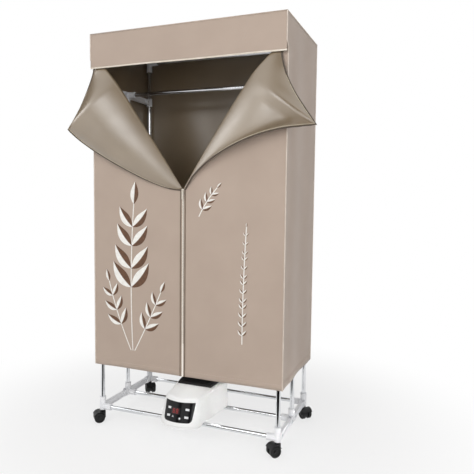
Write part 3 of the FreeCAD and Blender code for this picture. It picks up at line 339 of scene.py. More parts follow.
def mottle(finish, size, dark, light):
    """Base colour that drifts between two close shades."""
    shades = {MIX_SHARE: blotches(finish, size), MIX_FIRST: colour(dark), MIX_SECOND: colour(light)}
    tint = add_node(finish.tree, "ShaderNodeMix", shades, data_type="RGBA").outputs[MIX_RESULT]
    feed(finish, "Base Color", tint)
    return tint


def uneven_gloss(finish, size, low, high):
    """Roughness that varies as handling and moulding leave it."""
    feed(finish, "Roughness", blotches(finish, size, low, high))


def grain(finish, size, depth):
    """Fine moulded or cast texture, with its depth in metres."""
    height = blotches(finish, size, detail=2.0)
    relief = add_node(finish.tree, "ShaderNodeBump", {"Height": height, "Distance": depth})
    feed(finish, "Normal", relief.outputs["Normal"])


def wave_scale(period):
    """The Wave texture's scale for bands that repeat each period along an axis, in metres."""
    return math.pi / 10 / period


def slanting_ribs(finish, period, waver, depth):
    """Raised ribs that run at a slant, a little over a period apart, and waver a little."""
    bands = {"Vector": finish.place, "Scale": wave_scale(period), "Distortion": waver}
    ribs = add_node(finish.tree, "ShaderNodeTexWave", bands, bands_direction="DIAGONAL")
    relief = add_node(finish.tree, "ShaderNodeBump", {"Height": ribs.outputs["Fac"], "Distance": depth})
    feed(finish, "Normal", relief.outputs["Normal"])


def woven_relief(finish, depth):
    """Plain weave: warp and weft bands that cross."""
    bands = {"Vector": finish.place, "Scale": wave_scale(DRAWN_THREAD), "Distortion": 0.6, "Detail": 1.0}
    warp = add_node(finish.tree, "ShaderNodeTexWave", bands, bands_direction="X").outputs["Fac"]
    weft = add_node(finish.tree, "ShaderNodeTexWave", bands, bands_direction="Y").outputs["Fac"]
    crossed = add_node(finish.tree, "ShaderNodeMath", {0: warp, 1: weft}, operation="MULTIPLY")
    relief = add_node(finish.tree, "ShaderNodeBump", {"Height": crossed, "Distance": depth})
    feed(finish, "Normal", relief.outputs["Normal"])


# Fabric finishes

def coated_polyester(dark, light):
    """Cover cloth: plain-woven polyester with a thin coat. Matt, with a soft sheen at glancing angles."""
    sheen = {"Sheen_Weight": 0.25, "Sheen_Roughness": 0.5, "Specular_IOR_Level": 0.3}
    finish = new_finish("coated_polyester", on_cloth=True, **sheen)
    woven_relief(finish, depth=0.06 * MM)
    mottle(finish, 160 * MM, dark, light)
    uneven_gloss(finish, 60 * MM, low=0.62, high=0.72)
    return finish.material


def satin_lining(dark, light):
    """Lining: khaki satin with long floating threads, which give broad bright bands along a fold.
    The floats are about 1 mm, drawn at about 4 mm so that they show."""
    sheen = {"Sheen_Weight": 0.1, "Sheen_Roughness": 0.35, "Specular_IOR_Level": 0.9, "IOR": 1.85}
    finish = new_finish("satin_lining", on_cloth=True, **sheen)
    mottle(finish, 150 * MM, dark, light)
    uneven_gloss(finish, 80 * MM, low=0.34, high=0.4)
    slanting_ribs(finish, period=3 * MM, waver=1.5, depth=0.03 * MM)
    return finish.material


def bias_binding(name, dark, light):
    """Piping, binding and thread: slant-cut cloth or twisted yarn, whose ribs run round it at an angle."""
    finish = new_finish(name, Sheen_Weight=0.3, Specular_IOR_Level=0.35)
    mottle(finish, 25 * MM, dark, light)
    uneven_gloss(finish, 15 * MM, low=0.5, high=0.65)
    slanting_ribs(finish, period=1.6 * MM, waver=0.8, depth=0.12 * MM)
    return finish.material


def printed_ink(name, dark, light):
    """Print on the cloth: a thin rubbery film that the weave shows through, a little worn."""
    finish = new_finish(name, on_cloth=True, Specular_IOR_Level=0.35)
    woven_relief(finish, depth=0.1 * MM)
    mottle(finish, 12 * MM, dark, light)
    uneven_gloss(finish, 20 * MM, low=0.5, high=0.62)
    return finish.material


# Finishes of the hard parts; gloss is a range of roughness, and texture the depth of the grain

def chromed_tube(dark, light):
    """Frame tube: polished and chromed steel, faintly uneven, with a few dull patches."""
    finish = new_finish("chromed_tube", Metallic=1.0)
    mottle(finish, 90 * MM, dark, light)
    uneven_gloss(finish, 40 * MM, low=0.07, high=0.15)
    grain(finish, 2.5 * MM, depth=0.006 * MM)
    return finish.material


def moulded_plastic(name, dark, light, gloss, texture):
    """Plastic, rubber, laminate or ink: even colour, fine texture, gloss that varies with handling."""
    finish = new_finish(name, Specular_IOR_Level=0.35)
    mottle(finish, 60 * MM, dark, light)
    uneven_gloss(finish, 40 * MM, *gloss)
    grain(finish, 1.4 * MM, depth=texture)
    return finish.material


def plated_metal(name, dark, light, gloss):
    """Plated or bare metal: pins and screws, the zip's slider, the heating element, the motor can."""
    finish = new_finish(name, Metallic=1.0)
    mottle(finish, 6 * MM, dark, light)
    uneven_gloss(finish, 5 * MM, *gloss)
    grain(finish, 0.9 * MM, depth=0.02 * MM)
    return finish.material


def glossy_acrylic(dark, light):
    """Control panel: black acrylic with an anti-glare polish, a thin clear coat and faint wiping marks."""
    finish = new_finish("glossy_acrylic", Specular_IOR_Level=0.25, Coat_Weight=0.1)
    mottle(finish, 30 * MM, dark, light)
    uneven_gloss(finish, 22 * MM, low=0.08, high=0.2)
    return finish.material


def display_acrylic(name, dark, light, glow):
    """Number display behind the panel: tinted acrylic, with a slightly uneven glow where it is lit."""
    finish = new_finish(name, Roughness=0.3, Emission_Strength=glow)
    feed(finish, "Emission Color", mottle(finish, 4 * MM, dark, light))
    return finish.material


cover_cloth = coated_polyester("#b09e90", "#b5a395")
lining = satin_lining("#7c694f", "#857258")
cream_piping = bias_binding("cream_piping", "#dcd2c2", "#ece4d6")
taupe_piping = bias_binding("taupe_piping", "#b3a192", "#c2b1a2")
pale_piping = bias_binding("pale_piping", "#cdbfb2", "#d9cdc1")
lining_piping = bias_binding("lining_piping", "#b9ae98", "#c6bca7")
# cord of the welts beside the zip: a raised welt whose dark colour is painted shade along the zip
welt_binding_and_shade = bias_binding("welt_binding_and_shade", "#6f6152", "#7d6e5d")
# dark cord along the flaps' edges: a binding whose dark colour also paints the shade of the curled-under
# edge
edge_binding_and_shade = bias_binding("edge_binding_and_shade", "#4f4439", "#5a4e42")
white_ink = printed_ink("white_ink", "#e9e6e0", "#f5f3ee")
brown_ink = printed_ink("brown_ink", "#5c4130", "#6d4d38")
sewing_thread = bias_binding("sewing_thread", "#c3b3a3", "#d2c4b5")
zip_nylon = moulded_plastic("zip_nylon", "#f6ecdd", "#fbf4e9", (0.35, 0.5), 0.01 * MM)
tube_chrome = chromed_tube("#d4d6d9", "#ecedef")
joint_plastic = moulded_plastic("white_polypropylene", "#ecedf0", "#f6f6f8", (0.32, 0.48), 0.03 * MM)
heater_plastic = moulded_plastic("white_abs", "#f4f4f3", "#f6f6f5", (0.3, 0.33), 0.0012 * MM)
caster_plastic = moulded_plastic("black_nylon", "#0e0e0f", "#161617", (0.36, 0.48), 0.03 * MM)
grille_plastic = moulded_plastic("black_heat_proof_plastic", "#0d0d0e", "#19191b", (0.38, 0.52), 0.05 * MM)
key_plastic = moulded_plastic("white_key_abs", "#e4e5e6", "#eeeff0", (0.25, 0.36), 0.01 * MM)
gland_rubber = moulded_plastic("gland_rubber", "#1a1a1a", "#272727", (0.6, 0.8), 0.06 * MM)
board_laminate = moulded_plastic("board_laminate", "#1f5a35", "#2b6b42", (0.4, 0.55), 0.04 * MM)
rivet_steel = plated_metal("rivet_steel", "#b9bcc0", "#d6d8da", (0.22, 0.38))
zip_metal = plated_metal("zip_metal", "#d2c9ba", "#e6dfd2", (0.3, 0.42))
element_aluminium = plated_metal("element_aluminium", "#b4b6b8", "#cfd1d2", (0.3, 0.45))
motor_steel = plated_metal("motor_steel", "#8f9295", "#abaeb0", (0.3, 0.45))
panel_black = glossy_acrylic("#070708", "#101012")
lit_red = display_acrylic("lit_red_acrylic", "#7e2323", "#a03030", glow=0.5)
dark_red = display_acrylic("dark_red_acrylic", "#160809", "#1f0b0c", glow=0.0)
panel_ink = moulded_plastic("panel_ink", "#d9dbdd", "#e8eaec", (0.4, 0.5), 0.01 * MM)


# Meshes

def new_object(name, data):
    """A mesh, lamp or camera placed in the scene."""
    placed = bpy.data.objects.new(name, data)
    scene.collection.objects.link(placed)
    return placed


def new_mesh(name, points, faces, *finishes):
    """A mesh of faces with its finishes; the first one is on every face."""
    mesh = bpy.data.meshes.new(name)
    mesh.from_pydata(points, [], faces)
    for finish in finishes:
        mesh.materials.append(finish)
    return mesh


def set_uv(mesh, flat):
    """Lays a finished mesh out flat: each point has its place on the flat cloth, in metres."""
    layer = mesh.uv_layers.new(name="UVMap")
    corners = np.zeros(len(mesh.loops), dtype=np.int32)
    mesh.loops.foreach_get("vertex_index", corners)
    layer.data.foreach_set("uv", flat[corners].astype(np.float32).ravel())
    mesh.update()


def points_of(*coordinates):
    """Points or flat places from their coordinates; one that stays the same is given as one number."""
    return np.stack(np.broadcast_arrays(*coordinates), axis=-1)


def grid_faces(numbers):
    """Quads of a grid of point numbers."""
    corners = (numbers[:-1, :-1], numbers[:-1, 1:], numbers[1:, 1:], numbers[1:, :-1])
    return points_of(*corners).reshape(-1, 4).tolist()


def rim_faces(numbers):
    """Quads that close the edge between a grid and an equal one, which is numbered after it."""
    faces = []
    for edge in (numbers[0], numbers[:, -1], numbers[-1, ::-1], numbers[::-1, 0]):
        here, there = edge[:-1], edge[1:]
        faces += points_of(there, here, here + numbers.size, there + numbers.size).tolist()
    return faces


def grid_normals(points):
    """Unit normals of a grid of points: across the columns first, then up the rows."""
    normals = np.cross(np.gradient(points, axis=1), np.gradient(points, axis=0))
    return normals / np.linalg.norm(normals, axis=2, keepdims=True)


def shell(outside, thick):
    """A closed thin shell: the grid of outside points, an equal grid behind it, and a rim.
    Returns its points, and its faces as front, back and rim."""
    inside = outside - grid_normals(outside) * thick
    points = np.concatenate([outside.reshape(-1, 3), inside.reshape(-1, 3)])
    numbers = np.arange(outside.size // 3).reshape(outside.shape[:2])
    back = [face[::-1] for face in grid_faces(numbers + numbers.size)]
    return points, (grid_faces(numbers), back, rim_faces(numbers))


def cloth_sheet(name, outside, flat):
    """A sheet of the cover with its outer face, its lining and its raw edge."""
    points, (front, back, rim) = shell(outside, CLOTH)
    mesh = new_mesh(name, points.tolist(), front + back + rim, cover_cloth, lining)
    mesh.polygons.foreach_set("material_index", [0] * len(front) + [1] * len(back) + [0] * len(rim))
    mesh.polygons.foreach_set("use_smooth", [True] * (len(front) + len(back)) + [False] * len(rim))
    plan = flat.reshape(-1, 2)
    set_uv(mesh, np.concatenate([plan, plan]))
    return new_object(name, mesh)


# Forms that several panels share

def ease(share):
    """Goes from 0 to 1 with a soft start and end."""
    return share * share * (3 - 2 * share)


def waves(turns):
    """A wave between -1 and 1, with one up and down to each turn."""
    return np.sin(2 * np.pi * turns)


def soft_margin(share, width):
    """0 at both ends of 0..1 and 1 inside a soft margin."""
    return ease(np.clip(np.minimum(share, 1 - share) / width, 0, 1))


def soft_top(up):
    """Cloth is held straight at its upper seam: 0 below, 1 at the top."""
    return np.clip((up - (1 - HELD_TOP)) / HELD_TOP, 0, 1) ** 2


def hem_rows(low, high):
    """Heights of grid rows from low to high, with a close pair where the hem ends."""
    hem_top = low + HEM
    upper = np.linspace(hem_top + HEM_STEP, high, PANEL_ROWS)
    return np.concatenate([[low, low + HEM / 2, hem_top - HEM_STEP], upper])


def hem_lift(height):
    """The doubled hem stands a little proud of the single cloth."""
    return np.where(height < COVER_BOTTOM + HEM, HEM_PROUD, 0.0)


def upright_grid():
    """Grid of a panel as high as the cover: the share of its width, the height, and the share of that."""
    share, height = np.meshgrid(np.linspace(0, 1, PANEL_COLUMNS), hem_rows(COVER_BOTTOM, COVER_TOP))
    return share, height, (height - COVER_BOTTOM) / (COVER_TOP - COVER_BOTTOM)


def across_share(across):
    """A place across the cover as a share of its width, from the left."""
    return across / (2 * HALF_WIDTH) + 0.5


# Cover panels: each is a grid of outside points with its own sag and folds

def side_sag(share, up):
    """How far the side is drawn in between the uprights, with soft upright folds."""
    sway = SIDE_FOLD_SWAY * waves(SIDE_FOLD_BENDS * up)
    folds = 0.5 + 0.5 * waves(SIDE_FOLDS * share + sway + SIDE_FOLD_START)
    return SIDE_FOLD * folds * soft_margin(share, SIDE_MARGIN) * (1 - soft_top(up))


def side_front(height):
    """Front edge of the side: at the doors, and above the notch at the valance."""
    rise = np.clip((height - VALANCE_NOTCH) / NOTCH_CURVE, 0, 1)
    return DOOR_FRONT + (VALANCE_FRONT - DOOR_FRONT) * ease(rise)


def side_panel(name, side):
    """Side of the cover, drawn in between the uprights; its upper front edge runs forward to the valance."""
    share, height, up = upright_grid()
    front = side_front(height)
    depth = front + (COVER_BACK - front) * share
    across = side * (HALF_WIDTH - side_sag(share, up) + hem_lift(height))
    points = points_of(across, depth, height)
    return cloth_sheet(name, points[:, ::side], points_of(depth, height)[:, ::side])


def back_panel():
    """Back of the cover, which bellies forward a little, with soft upright folds."""
    share, height, up = upright_grid()
    belly = BACK_BELLY * np.sin(np.pi * share)
    folds = BACK_FOLD * waves(BACK_FOLDS * share + BACK_FOLD_SWAY * waves(BACK_FOLD_BENDS * up))
    sag = (belly + folds) * soft_margin(share, BACK_MARGIN) * (1 - soft_top(up))
    across = HALF_WIDTH * (1 - 2 * share)
    depth = COVER_BACK - sag + hem_lift(height)
    return cloth_sheet("cover_back_cloth", points_of(across, depth, height), points_of(-across, height))


def roof_panel():
    """Roof, which sags a little between the top rails."""
    across, depth = np.meshgrid(
        np.linspace(-HALF_WIDTH, HALF_WIDTH, PANEL_COLUMNS),
        np.linspace(VALANCE_FRONT, COVER_BACK, PANEL_COLUMNS),
    )
    along = (depth - VALANCE_FRONT) / (COVER_BACK - VALANCE_FRONT)
    sideways = across_share(across)
    sag = ROOF_SAG * np.sin(np.pi * along) * soft_margin(sideways, ROOF_MARGIN)
    inner = soft_margin(along, ROOF_RIPPLE_MARGIN) * soft_margin(sideways, ROOF_RIPPLE_MARGIN)
    ripple = ROOF_RIPPLE * waves(ROOF_RIPPLES * sideways + ROOF_RIPPLE_SLANT * along) * inner
    points = points_of(across, depth, COVER_TOP - sag + ripple)
    return cloth_sheet("cover_roof_cloth", points, points_of(across, depth))


def valance_depth(across, height):
    """Front of the valance, which waves more towards its free lower edge."""
    hang = (COVER_TOP - height) / (COVER_TOP - VALANCE_BOTTOM)
    sideways = across_share(across)
    wave = VALANCE_WAVE * waves(VALANCE_WAVES * sideways + VALANCE_WAVE_START) * hang ** 2
    return VALANCE_FRONT + wave * soft_margin(sideways, VALANCE_MARGIN)


def valance_panel():
    """Front flap of the roof; its lower edge hangs free and waves slightly."""
    across, height = np.meshgrid(
        np.linspace(-HALF_WIDTH, HALF_WIDTH, 2 * PANEL_COLUMNS),
        np.linspace(VALANCE_BOTTOM, COVER_TOP, VALANCE_ROWS),
    )
    points = points_of(across, valance_depth(across, height), height)
    return cloth_sheet("cover_valance_cloth", points, points_of(across, height))


# Doors: the closed part below the fold line and the opened corner are one sheet

def fold_height(across):
    """Height of the fold line at a distance from the middle."""
    share = (np.abs(across) - CHAIN_HALF_WIDTH) / (HALF_WIDTH - CHAIN_HALF_WIDTH)
    return SLIDER_HEIGHT + (FOLD_CORNER_HEIGHT - SLIDER_HEIGHT) * share


def door_depth(across, height):
    """Front of the closed part of a door: nearly flat, with soft upright waves that die out at its edges."""
    share = np.abs(across) / HALF_WIDTH
    below_fold = np.clip((fold_height(across) - height) / DOOR_WAVE_FADE, 0, 1)
    wave = DOOR_WAVE * waves(DOOR_WAVES * share + DOOR_WAVE_SLANT * height)
    return DOOR_FRONT + wave * soft_margin(share, DOOR_MARGIN) * below_fold


def flap_shares(share, side):
    """Along the fold line: how wide the opened corner is, how full its roll is, how free of the valance,
    and how far its edge curls, each as a share of its most. The width has a point at the tip; the roll is
    round there."""
    below = np.clip(share / FLAP_TIP_ALONG, 0, 1)
    above = np.clip((1 - share) / (1 - FLAP_TIP_ALONG), 0, 1)
    point = max(0, 1 - abs(share - FLAP_TIP_ALONG) / FLAP_POINT_LENGTH) ** 2
    width = min(below ** FLAP_FULLNESS[side], above ** FLAP_HOLLOW[side]) * (1 + FLAP_POINT[side] * point)
    free = max(ease(above) ** FLAP_TUCK, FLAP_LEAST)
    full = min(below * (2 - below), free)
    return max(width, FLAP_LEAST), max(full, FLAP_LEAST), free, free * (1 - FLAP_POINT_FLAT * point)


def chained_arcs(arcs):
    """Points of arcs that follow on each other, each given by its radius and the angles of its points.
    Returns how far each point lies into the opening, forward, and along the cloth."""
    spot = np.zeros(3)
    parts = []
    for radius, angle in arcs:
        arc = radius * points_of(np.sin(angle), -np.cos(angle), angle)
        run = spot + arc - arc[0]
        parts.append(run[1:])
        spot = run[-1]
    return np.concatenate(parts).T


def flap_section(width, full, free, curled_in):
    """One cut across the flap, as chained arcs. The cloth turns over the fold, crowns, bends back towards
    the door and curls in at its edge."""
    roll = FLAP_ROLL_RADIUS * full
    bend = FLAP_BEND_RADIUS * width
    curl = FLAP_CURL_RADIUS * width
    first = FLAP_FLAT_ANGLE + (FLAP_ROLL_ANGLE - FLAP_FLAT_ANGLE) * free
    reach = FLAP_WIDTH * width + roll * math.sin(first)
    ends = np.linspace(first, FLAP_CROWN_ANGLE, CROWN_TRIALS)
    bent = ends + FLAP_BEND_TURN * curled_in
    curled = bent + FLAP_CURL_TURN * curled_in
    edge_reach = bend * (np.sin(ends) - np.sin(bent)) + curl * (np.sin(bent) - np.sin(curled))
    turned = math.sin(first) - np.sin(ends)
    crown = max(FLAP_CROWN_RADIUS * full, (reach - edge_reach[-1]) / turned[-1])
    trials = np.arange(CROWN_TRIALS)
    chosen = np.interp(reach, crown * turned + edge_reach, trials)
    end, bent, curled = (np.interp(chosen, trials, angles) for angles in (ends, bent, curled))
    return chained_arcs([
        (roll, np.linspace(0, first, ROLL_STEPS)),
        (crown, np.linspace(first, end, CROWN_STEPS)),
        (bend, np.linspace(end, bent, BEND_STEPS)),
        (curl, np.linspace(bent, curled, CURL_STEPS)),
    ])


def door_column(share, side):
    """Outside points and flat places of one line up a door, from its hem over the fold to its free edge."""
    low = np.array([side * CHAIN_HALF_WIDTH, DOOR_FRONT, SLIDER_HEIGHT])
    fold = np.array([side * HALF_WIDTH, DOOR_FRONT, FOLD_CORNER_HEIGHT]) - low
    outward = np.array([side * fold[2], 0, -side * fold[0]]) / np.linalg.norm(fold)
    start = low + fold * share
    heights = hem_rows(COVER_BOTTOM, start[2])
    panel = points_of(start[0], door_depth(start[0], heights) - hem_lift(heights), heights)
    width, full, free, curled_in = flap_shares(share, side)
    into, forward, along = flap_section(width, full, free, curled_in)
    ripple = FLAP_WAVE * waves(FLAP_WAVES * share + FLAP_WAVE_START) * width * (along / along[-1]) ** 2
    flap = start - np.outer(into, outward)
    flap[:, 1] -= forward + ripple
    room = HALF_WIDTH - FLAP_INSET + FLAP_SPILL * np.clip(VALANCE_NOTCH - flap[:, 2], 0, None)
    flap[:, 0] = side * np.minimum(side * flap[:, 0], room)
    unrolled = start - np.outer(along, outward)
    flat = np.concatenate([panel[:, [0, 2]], unrolled[:, [0, 2]]])
    return np.concatenate([panel, flap]), flat


def door_sheet(name, side):
    """One door: its cloth, the line of the flap's free edge, and on the lining the lines of the dark
    binding, whose darkness also paints the shade of the curled-under edge, and of the seam beside it, all
    from the slider to the cover's corner."""
    below = np.linspace(0, FLAP_TIP_ALONG, TIP_COLUMNS + 1)
    above = np.linspace(FLAP_TIP_ALONG, 1, CORNER_COLUMNS + 1)[1:]
    columns = [door_column(share, side) for share in np.concatenate([below, above])]
    points = np.stack([column for column, _ in columns], axis=1)[:, ::side]
    flat = np.stack([places for _, places in columns], axis=1)[:, ::side]
    lining_face = points - grid_normals(points) * CLOTH
    return {
        "cloth": cloth_sheet(name, points, flat),
        "edge": points[-1][::side],
        "binding": lining_face[-1 - BINDING_AND_SHADE_ROW][::side],
        "seam": lining_face[-1 - SEAM_ROW][::side],
    }


# Cords and rows of small elements along lines, made with Geometry Nodes

def new_tree(name, **sizes):
    """An empty geometry tree, and its inputs: the geometry and the named sizes, each with its kind."""
    tree = bpy.data.node_groups.new(name, "GeometryNodeTree")
    tree.interface.new_socket("Geometry", in_out="OUTPUT", socket_type="NodeSocketGeometry")
    for label, kind in {"Geometry": "Geometry", **sizes}.items():
        tree.interface.new_socket(label, in_out="INPUT", socket_type=f"NodeSocket{kind}")
    return tree, add_node(tree, "NodeGroupInput").outputs


def finish_tree(tree, geometry, material):
    """The end of a tree: real geometry with its material."""
    whole = add_node(tree, "GeometryNodeRealizeInstances", {"Geometry": geometry})
    painted = add_node(tree, "GeometryNodeSetMaterial", {"Geometry": whole, "Material": material})
    add_node(tree, "NodeGroupOutput", {"Geometry": painted})
    return tree


def piping_tree():
    """A round cord along a line."""
    tree, given = new_tree("piping", Radius="Float", Sides="Int", Material="Material")
    line = add_node(tree, "GeometryNodeMeshToCurve", {"Mesh": given["Geometry"]})
    circle = {"Resolution": given["Sides"], "Radius": given["Radius"]}
    ring = add_node(tree, "GeometryNodeCurvePrimitiveCircle", circle)
    sweep = {"Curve": line, "Profile Curve": ring, "Fill Caps": True}
    cord = add_node(tree, "GeometryNodeCurveToMesh", sweep)
    smooth = add_node(tree, "GeometryNodeSetShadeSmooth", {"Geometry": cord})
    return finish_tree(tree, smooth, given["Material"])


def row_tree():
    """Small round elements spaced along a line, each turned to the line's own lie attribute."""
    tree, given = new_tree("row_of_elements", Pitch="Float", Size="Vector", Material="Material")
    line = add_node(tree, "GeometryNodeMeshToCurve", {"Mesh": given["Geometry"]})
    spacing = {"Curve": line, "Length": given["Pitch"]}
    spaced = add_node(tree, "GeometryNodeResampleCurve", spacing, mode="LENGTH")
    ball = {"Radius": BEAD_RADIUS, "Subdivisions": BEAD_ROUNDNESS}
    bead = add_node(tree, "GeometryNodeMeshIcoSphere", ball)
    smooth = add_node(tree, "GeometryNodeSetShadeSmooth", {"Geometry": bead})
    lie = add_node(tree, "GeometryNodeInputNamedAttribute", {"Name": "lie"}, data_type="FLOAT_VECTOR")
    turned = add_node(tree, "FunctionNodeAlignRotationToVector", {"Vector": lie}, axis="X")
    placing = {"Points": spaced, "Instance": smooth, "Rotation": turned, "Scale": given["Size"]}
    placed = add_node(tree, "GeometryNodeInstanceOnPoints", placing)
    return finish_tree(tree, placed, given["Material"])


def line_mesh(name, lines, lies):
    """Open lines as one mesh of edges, with the direction that elements on them lie in."""
    points, edges, directions = [], [], []
    for line, lie in zip(lines, lies):
        edges += [(i, i + 1) for i in range(len(points), len(points) + len(line) - 1)]
        points += line.tolist()
        directions.append(np.broadcast_to(lie, line.shape))
    mesh = bpy.data.meshes.new(name)
    mesh.from_pydata(points, edges, [])
    attribute = mesh.attributes.new("lie", "FLOAT_VECTOR", "POINT")
    attribute.data.foreach_set("vector", np.concatenate(directions).astype(np.float32).ravel())
    return mesh


def grown(name, tree, lines, lies=None, **inputs):
    """Runs a tree on lines and keeps the result as a plain mesh piece. Elements lie along the lines, or in
    the ways that are given."""
    lies = lies or [np.gradient(line, axis=0) for line in lines]
    seed = new_object(f"{name}_lines", line_mesh(name, lines, lies))
    modifier = seed.modifiers.new("grow", "NODES")
    modifier.node_group = tree
    for socket in tree.interface.items_tree:
        if socket.in_out == "INPUT" and socket.name in inputs:
            modifier[socket.identifier] = inputs[socket.name]
    made = bpy.data.meshes.new_from_object(seed.evaluated_get(bpy.context.evaluated_depsgraph_get()))
    made.name = name
    bpy.data.objects.remove(seed)
    return new_object(name, made)


PIPING = piping_tree()
ROW = row_tree()


def piped(name, lines, radius, material):
    """Piping along each of the lines, as one piece."""
    return grown(name, PIPING, lines, Radius=radius, Sides=PIPING_SIDES, Material=material)


def strung(name, lines, pitch, size, material, lies=None):
    """Teeth or stitches strung along each of the lines, as one piece."""
    return grown(name, ROW, lines, lies, Pitch=pitch, Size=size, Material=material)


# Lines of the seams and the zip

def corner_lines():
    """The four upright corners of the cover; the front ones bend forward to the valance."""
    below = np.linspace(COVER_BOTTOM, VALANCE_NOTCH, CORNER_POINTS)
    above = np.linspace(VALANCE_NOTCH, COVER_TOP, CORNER_POINTS)[1:]
    heights = np.concatenate([below, above])
    lines = []
    for side in SIDES.values():
        lines.append(points_of(side * HALF_WIDTH, side_front(heights), heights))
        lines.append(points_of(side * HALF_WIDTH, COVER_BACK, heights))
    return lines


def roof_line():
    """The edge all round the roof, from its rear right corner."""
    across = np.array([HALF_WIDTH, HALF_WIDTH, -HALF_WIDTH, -HALF_WIDTH, HALF_WIDTH])
    depth = np.array([COVER_BACK, VALANCE_FRONT, VALANCE_FRONT, COVER_BACK, COVER_BACK])
    return points_of(across, depth, COVER_TOP)


def valance_hem_line():
    """The free lower edge of the valance, in the middle of its cloth."""
    across = np.linspace(-HALF_WIDTH, HALF_WIDTH, 2 * PANEL_COLUMNS)
    return points_of(across, valance_depth(across, VALANCE_BOTTOM) + CLOTH / 2, VALANCE_BOTTOM)


def hem_stitch_lines():
    """Where the doubled hems of the sides and doors are sewn down."""
    height = COVER_BOTTOM + HEM - STITCH_BELOW_HEM
    proud = HEM_PROUD + STITCH_PROUD
    share = np.linspace(0, 1, PANEL_COLUMNS)[SIDE_HEM_ENDS:-SIDE_HEM_ENDS]
    side_across = HALF_WIDTH - side_sag(share, 0.0) + proud
    door_across = np.linspace(ZIP_WELT + STITCH_MARGIN, HALF_WIDTH - STITCH_MARGIN, DOOR_HEM_POINTS)
    lines = []
    for side in SIDES.values():
        lines.append(points_of(side * side_across, DOOR_FRONT + (COVER_BACK - DOOR_FRONT) * share, height))
        lines.append(points_of(side * door_across, door_depth(door_across, height) - proud, height))
    return lines


def flap_zip(door):
    """Teeth of the opened half of the zip: their line along the flap's edge from the slider to its tip, and
    the way they point."""
    edge = door["edge"][:TIP_COLUMNS + 1]
    outward = edge - door["binding"][:TIP_COLUMNS + 1]
    return edge + HALF_TOOTH_OUT * outward / np.linalg.norm(outward, axis=1, keepdims=True), outward


def welt_line(side):
    """Upright line of the welt beside the closed zip, whose dark colour is painted shade."""
    heights = np.linspace(COVER_BOTTOM, SLIDER_HEIGHT - WELT_BELOW_SLIDER, WELT_POINTS)
    return points_of(side * ZIP_WELT, DOOR_FRONT - HEM_PROUD, heights)


# The cover

sides = {name: side_panel(f"cover_{name}_side_cloth", side) for name, side in SIDES.items()}
back = back_panel()
roof = roof_panel()
valance = valance_panel()
doors = {name: door_sheet(f"cover_{name}_door_cloth", side) for name, side in SIDES.items()}

chain_line = points_of(0.0, DOOR_FRONT - CHAIN_PROUD, np.array([ZIP_LOW.z, ZIP_HIGH.z]))
opened_lines, opened_ways = zip(*(flap_zip(door) for door in doors.values()))
welt_lines = [welt_line(side) for side in SIDES.values()]
binding_and_shade_lines = [door["binding"] for door in doors.values()]
seam_lines = [door["seam"] for door in doors.values()]
teeth = strung("zip_teeth", [chain_line], TOOTH_PITCH, TOOTH_SIZE, zip_nylon, [(1, 0, 0)])
opened_teeth = strung("flap_zip_teeth", opened_lines, TOOTH_PITCH, HALF_TOOTH_SIZE, zip_nylon, opened_ways)
seams = [
    piped("cover_corner_piping", corner_lines(), PIPING_RADIUS, pale_piping),
    piped("cover_roof_piping", [roof_line()], PIPING_RADIUS, taupe_piping),
    piped("valance_hem_piping", [valance_hem_line()], HEM_PIPING_RADIUS, cream_piping),
    # the welts' dark colour is painted shade along both sides of the closed zip
    piped("zip_welts", welt_lines, ZIP_WELT_RADIUS, welt_binding_and_shade),
    # the flaps' dark binding lies where the curled edge turns away; its darkness is partly painted shade
    piped("flap_edges", binding_and_shade_lines, EDGE_RADIUS, edge_binding_and_shade),
    piped("flap_seams", seam_lines, EDGE_SEAM_RADIUS, lining_piping),
    strung("hem_stitches", hem_stitch_lines(), STITCH_PITCH, STITCH_SIZE, sewing_thread),
]


# Print on the doors: sprigs of leaves in white and brown

def bent_line(base, heading, length, curl, count):
    """Points and headings of a line that starts at base and turns by curl; a heading is from upright."""
    headings = heading + curl * np.linspace(0, 1, count)
    steps = points_of(np.sin(headings), np.cos(headings)) * length / (count - 1)
    points = np.asarray(base) + np.concatenate([np.zeros((1, 2)), np.cumsum(steps[:-1], axis=0)])
    return points, headings


def pointed(count):
    """Outline of a leaf or petal: its width along its length, as shares of its most."""
    share = np.linspace(0.0, 1.0, count)
    return np.maximum(np.sin(np.pi * share ** BLADE_BELLY), BLADE_TIP)


def blade(base, heading, length, widths, curl=0.0, count=BLADE_ROWS, outline=pointed):
    """A half leaf, petal or stem as a grid of flat points between two widths beside its middle line."""
    points, headings = bent_line(base, heading, length, curl, count)
    sideways = points_of(np.cos(headings), -np.sin(headings))
    columns = np.linspace(*widths, BLADE_COLUMNS)
    return points[:, None] + sideways[:, None] * (outline(count)[:, None] * columns)[..., None]


def leaf(base, heading, length, curl):
    """Two half leaves beside an open midrib: the first is white, the second brown."""
    edge = LEAF_SLENDER * length
    white = blade(base, heading, length, (-edge, -LEAF_RIB), curl)
    brown = blade(base, heading, length, (LEAF_RIB, edge), curl)
    return white, brown


def sprig(base, heading, stem, curl, largest, pairs, bare):
    """A stem, bare for a share of its length, then leaves in pairs that grow smaller upwards, and one at its
    end. Returns white and brown grids."""
    points, headings = bent_line(base, heading, stem, curl, STEM_POINTS)
    leaves = []
    for pair in range(pairs):
        share = bare + (1 - bare) * pair / pairs
        spot = int(share * (STEM_POINTS - 1))
        size = largest * (1 - LEAF_SHRINK * share)
        for side in SIDES.values():
            leaves.append(leaf(points[spot], headings[spot] + side * LEAF_SPREAD, size, -side * LEAF_CURL))
    leaves.append(leaf(points[-1], headings[-1], largest * (1 - LEAF_SHRINK), 0.0))
    white, brown = zip(*leaves)
    twig = blade(base, heading, stem, (-STEM_HALF, STEM_HALF), curl, STEM_POINTS, outline=np.ones)
    return [twig, *white], brown


def facing_front(grid):
    """The grid with its columns in the order that turns its face to the front."""
    middle = grid[len(grid) // 2]
    along = middle[-1] - middle[0]
    over = grid[-1, 0] - grid[0, 0]
    return grid if along[0] * over[1] - along[1] * over[0] > 0 else grid[:, ::-1]


